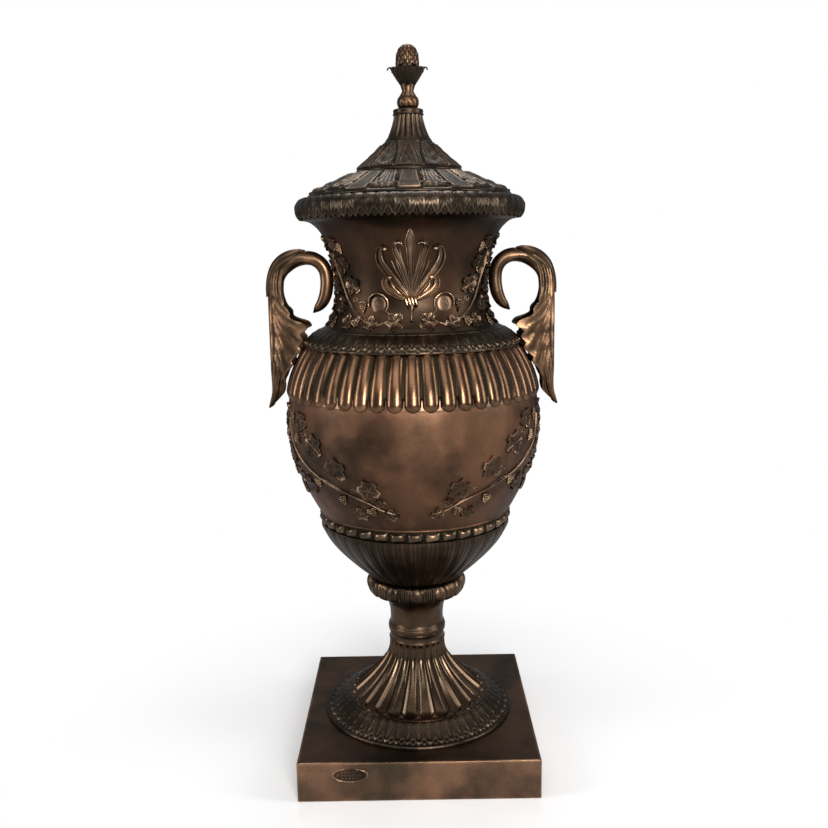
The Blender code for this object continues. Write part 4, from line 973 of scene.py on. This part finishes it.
ARM = ((104.6, 491.6, 0.6), (100.6, 495.6, 3.8), (95.4, 501.2, 5.8), (91.6, 508.6, 6.7), (89.6, 517, 7),
       (89, 526, 7.1), (90.2, 535, 7.2), (94.4, 542.5, 7.3), (101.4, 547.5, 7.3), (112, 549, 7.2),
       (123, 546.5, 7.1), (132.5, 540, 7.1), (139.5, 531, 7.2), (142.6, 520, 7.2), (143, 508, 7.1),
       (142.6, 495, 6.8), (141, 480, 6), (139, 465, 4.5), (138, 455, 1.5))
LEAF = ((118, 554, 2, 3), (124, 553.4, 5, 6.4), (130, 552.2, 7.5, 7.6), (137, 548.8, 10, 8),
        (143, 543, 12, 8.2), (147, 535.5, 13, 8.6), (149.6, 526, 14, 9), (150.6, 512, 14.5, 9.6),
        (150.8, 500, 18, 12.5), (150.8, 492, 23, 16), (150.8, 485, 29, 19.5), (150.8, 479, 37.5, 23),
        (150.8, 475.5, 43.5, 23.6), (150.8, 472, 38, 23.4), (150.8, 468, 32.5, 22.6), (150.8, 465, 33.5, 22.8),
        (150.8, 460, 35.5, 23.4), (150.8, 455, 34.5, 23.2), (150.8, 450, 28.5, 22), (150.8, 445, 27.5, 22),
        (150.8, 440, 25, 21.6), (150.8, 430, 17.5, 19.6), (150.6, 423, 14.5, 17), (150.4, 418, 12, 14),
        (150.4, 412, 12, 13), (150.6, 407, 11, 11), (151.6, 402, 7.6, 8.4), (153.6, 396, 3.6, 5),
        (156.4, 390.6, 0.4, 0.8))
SHEATH = ((111, 557, 2, 3), (119, 558, 7, 6.8), (127.6, 556.8, 11.5, 8.8), (138.4, 551.8, 13, 9.2),
          (146.8, 542.8, 12.5, 8.4), (151.8, 530, 9.5, 6), (153.6, 519, 5.5, 3.4), (154, 509, 0.6, 0.6))


def sheet(shell, way, spine, rows, thickness, veins, relief):
    """A leaf folded over its spine. spine rows are (x, z, inward reach, half spread).

    Its inner veins run along the spine. Where it reaches far in, ribs fan out to its teeth instead.
    """
    path = through(spine, rows)
    place, reach, spread = path[:, :2], path[:, 2:3], path[:, 3:4]
    inward, columns = normals(place), 37
    a = np.linspace(-1, 1, columns)[None, :]
    off = np.abs(a)
    run = np.arange(rows)[:, None] / (rows - 1)
    around = rows // 7
    window = np.hanning(2 * around + 1)
    padded = np.pad(reach[:, 0], around, mode="edge")
    even = np.convolve(padded, window / window.sum(), mode="valid")[:, None]
    down = run * np.linalg.norm(np.diff(place, axis=0), axis=1).sum()
    slant, pitch = 62, 15
    fan = (down - slant * off) / pitch
    teeth = 1 + 0.1 * np.cos(tau * (down - slant) / pitch) * smooth(17, 26, reach)
    reach = mix(even, reach * teeth, off ** 5) * off ** 1.6
    x, z = place[:, :1] + inward[:, :1] * reach, place[:, 1:] + inward[:, 1:] * reach
    y = np.sign(a) * spread * np.sin(off * 0.5 * pi) ** 0.8 + 0 * x
    outer = np.stack((x, y, z), axis=-1)
    along, across = np.gradient(outer, axis=0), np.gradient(outer, axis=1)
    normal = np.cross(across, along)
    normal /= np.maximum(np.linalg.norm(normal, axis=-1), TINY)[..., None]
    normal *= np.sign(normal[rows // 2, columns // 2, 0])
    full = unit(spread / 6)
    vein = np.zeros_like(x)
    for k in range(-veins, veins + 1):
        vein = np.maximum(vein, bump(a - k / (veins + 0.75), 0.045) * (1 if k else 1.4))
    low = smooth(14, 20, even)
    spare = 1 - low * smooth(0.3, 0.55, off)
    groove = (0.5 - 0.5 * np.cos(tau * a * (veins + 0.75))) * spare
    vein = np.maximum(vein * spare, bump(cell(fan), 0.17) * low * smooth(0.2, 0.45, off))
    edge = bump(off - 0.97, 0.05)
    lift = relief * full * (vein - 0.5 * groove + 0.8 * edge)
    wall = thickness * np.clip(spread / 5, 0.25, 1) + 0 * x
    front = outer + normal * lift[..., None]
    back = outer - normal * wall[..., None]
    grid = np.concatenate((front, back[:, ::-1]), axis=1)
    worn = np.hstack((unit(0.9 * vein + 0.8 * edge) * full, 0 * x))
    # The grooves, the margins and the whole back of the leaf take the recess colour: patina and dirt, and
    # painted shade on the margins and under the leaf.
    margin = smooth(0.4, 0.9, off) * (1 - edge) * (1 - vein)
    deep = np.hstack((unit(0.6 * groove * (1 - vein) + 0.75 * margin) * full, 0.8 + 0 * x))
    close(shell, way, grid, worn, deep)


def close(shell, way, grid, worn, deep):
    """Adds a tube of rows with both ends drawn together to a point, mirrored for the other side."""
    ends = [np.broadcast_to(row.mean(axis=0), row.shape)[None] for row in (grid[0], grid[-1])]
    grid = np.concatenate((ends[0], grid, ends[1]))
    worn, deep = np.vstack((worn[:1], worn, worn[-1:])), np.vstack((deep[:1], deep, deep[-1:]))
    shell.add(grid * np.array((way, 1, 1)) * MM, worn, deep)


def arm(shell, way):
    """The round arm, twisted over its arch and creased near its curled end."""
    rows, sides = 120, 26
    path = through(ARM, rows)
    place, thick = path[:, :2], path[:, 2:3]
    side = normals(place)
    angle = tau * np.arange(sides)[None, :] / sides
    run = np.arange(rows)[:, None] / (rows - 1)
    arch = smooth(0.3, 0.42, run) * smooth(0.78, 0.62, run)
    folds = arch * np.clip(np.cos(3 * angle + 26 * run), -0.4, 1)
    crease = smooth(0.24, 0.02, run) * bump(cell(angle / tau - 0.25), 0.06)
    reach = thick * (1 + 0.07 * folds - 0.2 * crease)
    x = place[:, :1] + side[:, :1] * reach * np.cos(angle)
    z = place[:, 1:] + side[:, 1:] * reach * np.cos(angle)
    grid = np.stack((x, reach * np.sin(angle), z), axis=-1)
    rubbed = 0.35 + 0.4 * unit(folds)
    # The hollows of the folds and the crease take the recess colour: patina and dirt, and painted shade in
    # them.
    close(shell, way, grid, rubbed + 0 * x, unit(-folds) * 1.2 + 0.6 * crease)


def handles():
    for name, way in (("handle_right", 1), ("handle_left", -1)):
        shell = Shell()
        arm(shell, way)
        sheet(shell, way, LEAF, 150, 2.6, 5, 1.2)
        sheet(shell, way, SHEATH, 60, 1.4, 2, 0.6)
        cast(shell, name + "_casting", handle_bronze, (name,))


# Finial, plinth and seal

def acorn_relief(across, along):
    """A twisted ball below and an acorn's scales above."""
    ball = 0.35 * np.cos(tau * (across + 0.04 * along)) * smooth(1, 4, along) * smooth(16, 13, along)
    rise = (along - 47) / 4.6
    scales = np.abs(np.cos(pi * (across + 0.5 * rise))) * np.abs(np.cos(pi * (across - 0.5 * rise)))
    return ball + np.sqrt(scales) * smooth(47, 50, along) * smooth(78, 70, along)


def cup_leaf(shell, azimuth, base, reach, rise):
    """One pointed leaf of the finial's cup, bowed outwards and curled at its tip."""
    spine = through([(6.6, 721.6 + base, 3.2), (9.4, 725.2 + base, 5), (12.4, 729.8 + base, 6.6),
                     (15.2, 734.4 + base, 6.7), (17, 737.8 + base, 4.6),
                     (mix(17, reach, 0.6), 738.8 + base, 2.6), (reach, rise + base, 0.2)], 20)
    a = np.linspace(-1, 1, 9)[None, :]
    radius = spine[:, :1] - 0.24 * spine[:, 2:] * a ** 2
    turn = azimuth + spine[:, 2:] * a / np.maximum(radius, 1)
    vein = 0.5 * bump(a, 0.2)
    layers = []
    for lift in (0.5 + vein, -0.6 + 0 * vein):
        layers.append(round_axis(radius + lift, turn, spine[:, 1:2] - 0.4 * lift + 0 * turn))
    grid = np.concatenate((layers[0], layers[1][:, ::-1]), axis=1)
    edge = bump(np.abs(a) - 1, 0.3) + vein + 0 * turn
    worn = np.hstack((unit(edge), 0 * turn))
    # The front takes a little of the recess colour and the back more: patina, and painted shade under the leaf.
    deep = np.hstack((0.3 + 0 * turn, 0.7 + 0 * turn))
    close(shell, 1, grid, worn, deep)


def finial():
    acorn = [(0.6, 698), (7.6, 698), (9.8, 699.6), (11, 702.4), (11.2, 705.4), (10.2, 708.6), (8, 710.8),
             (6.6, 712.2), (6.1, 715), (6.1, 718.4), (6.8, 721), (9, 723.6), (11.2, 727), (12.2, 731),
             (11.6, 735.6), (10.9, 738), (11.1, 741.5), (11.2, 746), (10.2, 751.6), (7.8, 756.8),
             (4.4, 760.2), (0.4, 761.3)]
    band("finial_acorn", through(acorn, 110), 12, 8, acorn_relief, handle_bronze, ("finial",),
         back=0.3)
    shell = Shell()
    for k in range(6):
        cup_leaf(shell, tau * (k + 0.5) / 6, 0, 20.4, 735.8)
        cup_leaf(shell, tau * k / 6, -1.2, 18.4, 736.6)
    cast(shell, "finial_leaves", lid_bronze)


def plinth():
    """A hollow block with softened edges, swept from inside over the lower rim to the top's middle."""
    half, top, wall = PLINTH_HALF, 42.8, 6
    rows = [(half, top - wall), (60, top - wall), (wall, top - wall), (wall, 0), (wall - 1, 0), (1.2, 0),
            (0.35, 0.35), (0, 1.2)]
    rows.extend((0, z) for z in np.linspace(3, top - 3, 12))
    rows.extend([(0, top - 1.2), (0.35, top - 0.35), (1.2, top), (3, top), (7, top), (14, top), (26, top),
                 (45, top), (80, top), (half, top)])
    side = np.concatenate(([-1, -0.995], np.linspace(-0.98, 0.98, 22), [0.995]))
    corner = 1 - 0.0035 * (np.abs(side) == 1)
    outline = []
    for turn in range(4):
        c, s = round(cos(0.5 * pi * turn)), round(sin(0.5 * pi * turn))
        for t, pull in zip(side, corner):
            outline.append((c * t * pull + s * pull, s * t * pull - c * pull))
    outline = np.array(outline)
    grid = np.array([np.column_stack((outline * (half - inset), np.full(len(outline), z)))
                     for inset, z in rows])
    away = np.sort(np.stack((half - np.abs(grid[..., 0]), half - np.abs(grid[..., 1]),
                             np.minimum(grid[..., 2], top - grid[..., 2])), axis=-1), axis=-1)
    worn = bump(away[..., 1], 1.6) * (grid[..., 2] > 0.01)
    shell = Shell()
    # The plinth's flat top takes the near-black recess colour: painted shade that makes the top darker than the
    # sides.
    painted_top_shade = (grid[..., 2] > top - 0.5) * smooth(0.6, 2, away[..., 1])
    shell.add(grid * MM, worn, 0.75 * painted_top_shade)
    cast(shell, "plinth_block", plinth_bronze, ("plinth",), 1e-5, 35)


def seal():
    """An oval stamp with a raised rim and three rows of shallow strokes that are no letters."""
    wide, tall, middle, height = 19, 7.7, -70.6, 29.1
    u, v = np.meshgrid(np.linspace(-1, 1, 105), np.linspace(-1, 1, 37))
    x, z = wide * u * np.sqrt(1 - 0.5 * v * v), tall * v * np.sqrt(1 - 0.5 * u * u)
    rho = np.sqrt((x / wide) ** 2 + (z / tall) ** 2)
    rim = 0.55 * bump(rho - 0.93, 0.045)
    strokes = np.zeros_like(x)
    for row, (level, reach) in enumerate(((3.4, 9), (0, 13.5), (-3.4, 9))):
        for k in range(int(reach / 0.95)):
            place = -reach + 1.9 * k + 0.5 * sin(3.1 * k + row)
            lean = 0.35 * sin(2.3 * k + 1.7 * row)
            length = 1.05 + 0.25 * sin(4.7 * k + row)
            bar = bump(x - place - lean * (z - level), 0.26) * smooth(0.25, 0, np.abs(z - level) - length)
            strokes = np.maximum(strokes, bar)
    face = 0.05 + rim + 0.28 * strokes * (rho < 0.8)
    border = (np.abs(u) == 1) | (np.abs(v) == 1)
    face = np.where(border, -0.5, face)
    front = np.stack((x + middle, -PLINTH_HALF - face, z + height), axis=-1)
    back = np.stack((x + middle, np.full_like(x, -124.2), z + height), axis=-1)
    shell = Shell()
    grid = np.concatenate((front, back[:, ::-1]), axis=1)
    worn = np.hstack((unit(rim / 0.5 + 0.6 * strokes * (rho < 0.8)), 0 * x))
    # The field inside the rim, between the strokes, takes the recess colour: patina and dirt, and painted
    # shade.
    deep = np.hstack((0.7 * (rho < 0.9) * (1 - strokes), 0 * x))
    close(shell, 1, grid, worn, deep)
    cast(shell, "seal", plinth_bronze)


# Floor, light and camera

def stage():
    """A pale floor that fades into the white behind it for the camera alone."""
    bpy.ops.mesh.primitive_circle_add(vertices=64, radius=6, fill_type="NGON", location=(0, 0, -0.0002))
    floor = bpy.context.object
    floor.name = "floor"
    paper = bpy.data.materials.new("pale_floor")
    paper.use_nodes = True
    tree = paper.node_tree
    shader, result = tree.nodes["Principled BSDF"], tree.nodes["Material Output"]
    settle(shader, ("Roughness", 0.8))
    path, place = node(tree, "ShaderNodeLightPath"), node(tree, "ShaderNodeTexCoord")
    distance = node(tree, "ShaderNodeVectorMath", operation="LENGTH")
    far, light = ramp(tree, 0.15, 0.45), node(tree, "ShaderNodeEmission")
    seen, mixed = node(tree, "ShaderNodeMath", operation="MULTIPLY"), node(tree, "ShaderNodeMixShader")
    tint = settle(node(tree, "ShaderNodeMix", data_type="RGBA"), (6, (0.45, 0.45, 0.46, 1)),
                  (7, (0.93, 0.93, 0.93, 1)))
    wire(tree, (place, "Object", distance, 0), (distance, "Value", far, 0), (path, "Is Camera Ray", seen, 0),
         (far, 0, seen, 1), (path, "Is Camera Ray", tint, 0), (tint, 2, shader, 0), (seen, 0, mixed, 0),
         (shader, 0, mixed, 1), (light, 0, mixed, 2), (mixed, 0, result, 0))
    floor.data.materials.append(paper)


def world():
    """White for the camera, a dim grey fill for the bronze."""
    made = bpy.data.worlds.new("studio")
    made.use_nodes = True
    tree = made.node_tree
    tree.nodes.clear()
    seen, fill = (settle(node(tree, "ShaderNodeBackground"), ("Color", color))
                  for color in ((1, 1, 1, 1), (0.2, 0.205, 0.215, 1)))
    mixed, path = node(tree, "ShaderNodeMixShader"), node(tree, "ShaderNodeLightPath")
    wire(tree, (path, "Is Camera Ray", mixed, 0), (fill, 0, mixed, 1), (seen, 0, mixed, 2),
         (mixed, 0, node(tree, "ShaderNodeOutputWorld"), 0))
    bpy.context.scene.world = made


def area(name, place, target, size, power, color=(1, 1, 1)):
    light = bpy.data.lights.new(name, "AREA")
    light.shape = "RECTANGLE"
    light.size, light.size_y = size
    light.energy = power
    light.color = color
    item = bpy.data.objects.new(name, light)
    item.location = place
    item.rotation_euler = (Vector(target) - Vector(place)).to_track_quat("-Z", "Y").to_euler()
    bpy.context.scene.collection.objects.link(item)


def lights():
    """A warm key in front, panels at both sides and behind, and a wide one overhead."""
    area("key", (0.45, -2, 0.95), (0, 0, 0.36), (0.6, 0.6), 30, (1, 0.98, 0.95))
    area("high", (-0.2, -1.7, 2), (0, 0, 0.4), (1.8, 1), 15)
    area("left_panel", (-1.5, -0.5, 0.8), (0, 0, 0.35), (0.4, 1.2), 8.5)
    area("right_panel", (1.5, -0.4, 0.9), (0, 0, 0.35), (0.4, 1.2), 10)
    area("back_panel", (0, 1.3, 2.6), (0, 0, 0.4), (1.2, 0.6), 16)
    area("top", (0, -0.1, 2.4), (0, 0, 0.3), (2.2, 1.6), 9)
    bpy.context.scene.view_settings.view_transform = "Standard"


def camera():
    """The photograph's own view: slightly from above and turned a little."""
    place = (0.00221, -0.9781, 0.5561)
    yaw, pitch, roll = radians(-0.0867), radians(10.197), radians(-0.979)
    ahead = Vector((sin(yaw) * cos(pitch), cos(yaw) * cos(pitch), -sin(pitch)))
    level = Vector((cos(yaw), -sin(yaw), 0))
    upright = Vector((sin(yaw) * sin(pitch), cos(yaw) * sin(pitch), cos(pitch)))
    right = level * cos(roll) + upright * sin(roll)
    up = upright * cos(roll) - level * sin(roll)
    lens = bpy.data.cameras.new("camera")
    lens.lens, lens.sensor_width = 39.76, 36
    lens.sensor_fit = "HORIZONTAL"
    item = bpy.data.objects.new("camera", lens)
    turn = Matrix((right, up, -ahead)).transposed().to_4x4()
    item.matrix_world = Matrix.Translation(place) @ turn
    bpy.context.scene.collection.objects.link(item)
    bpy.context.scene.camera = item


vessel_bands()
lid_bands()
vines()
palmette()
handles()
finial()
plinth()
seal()
stage()
world()
lights()
camera()
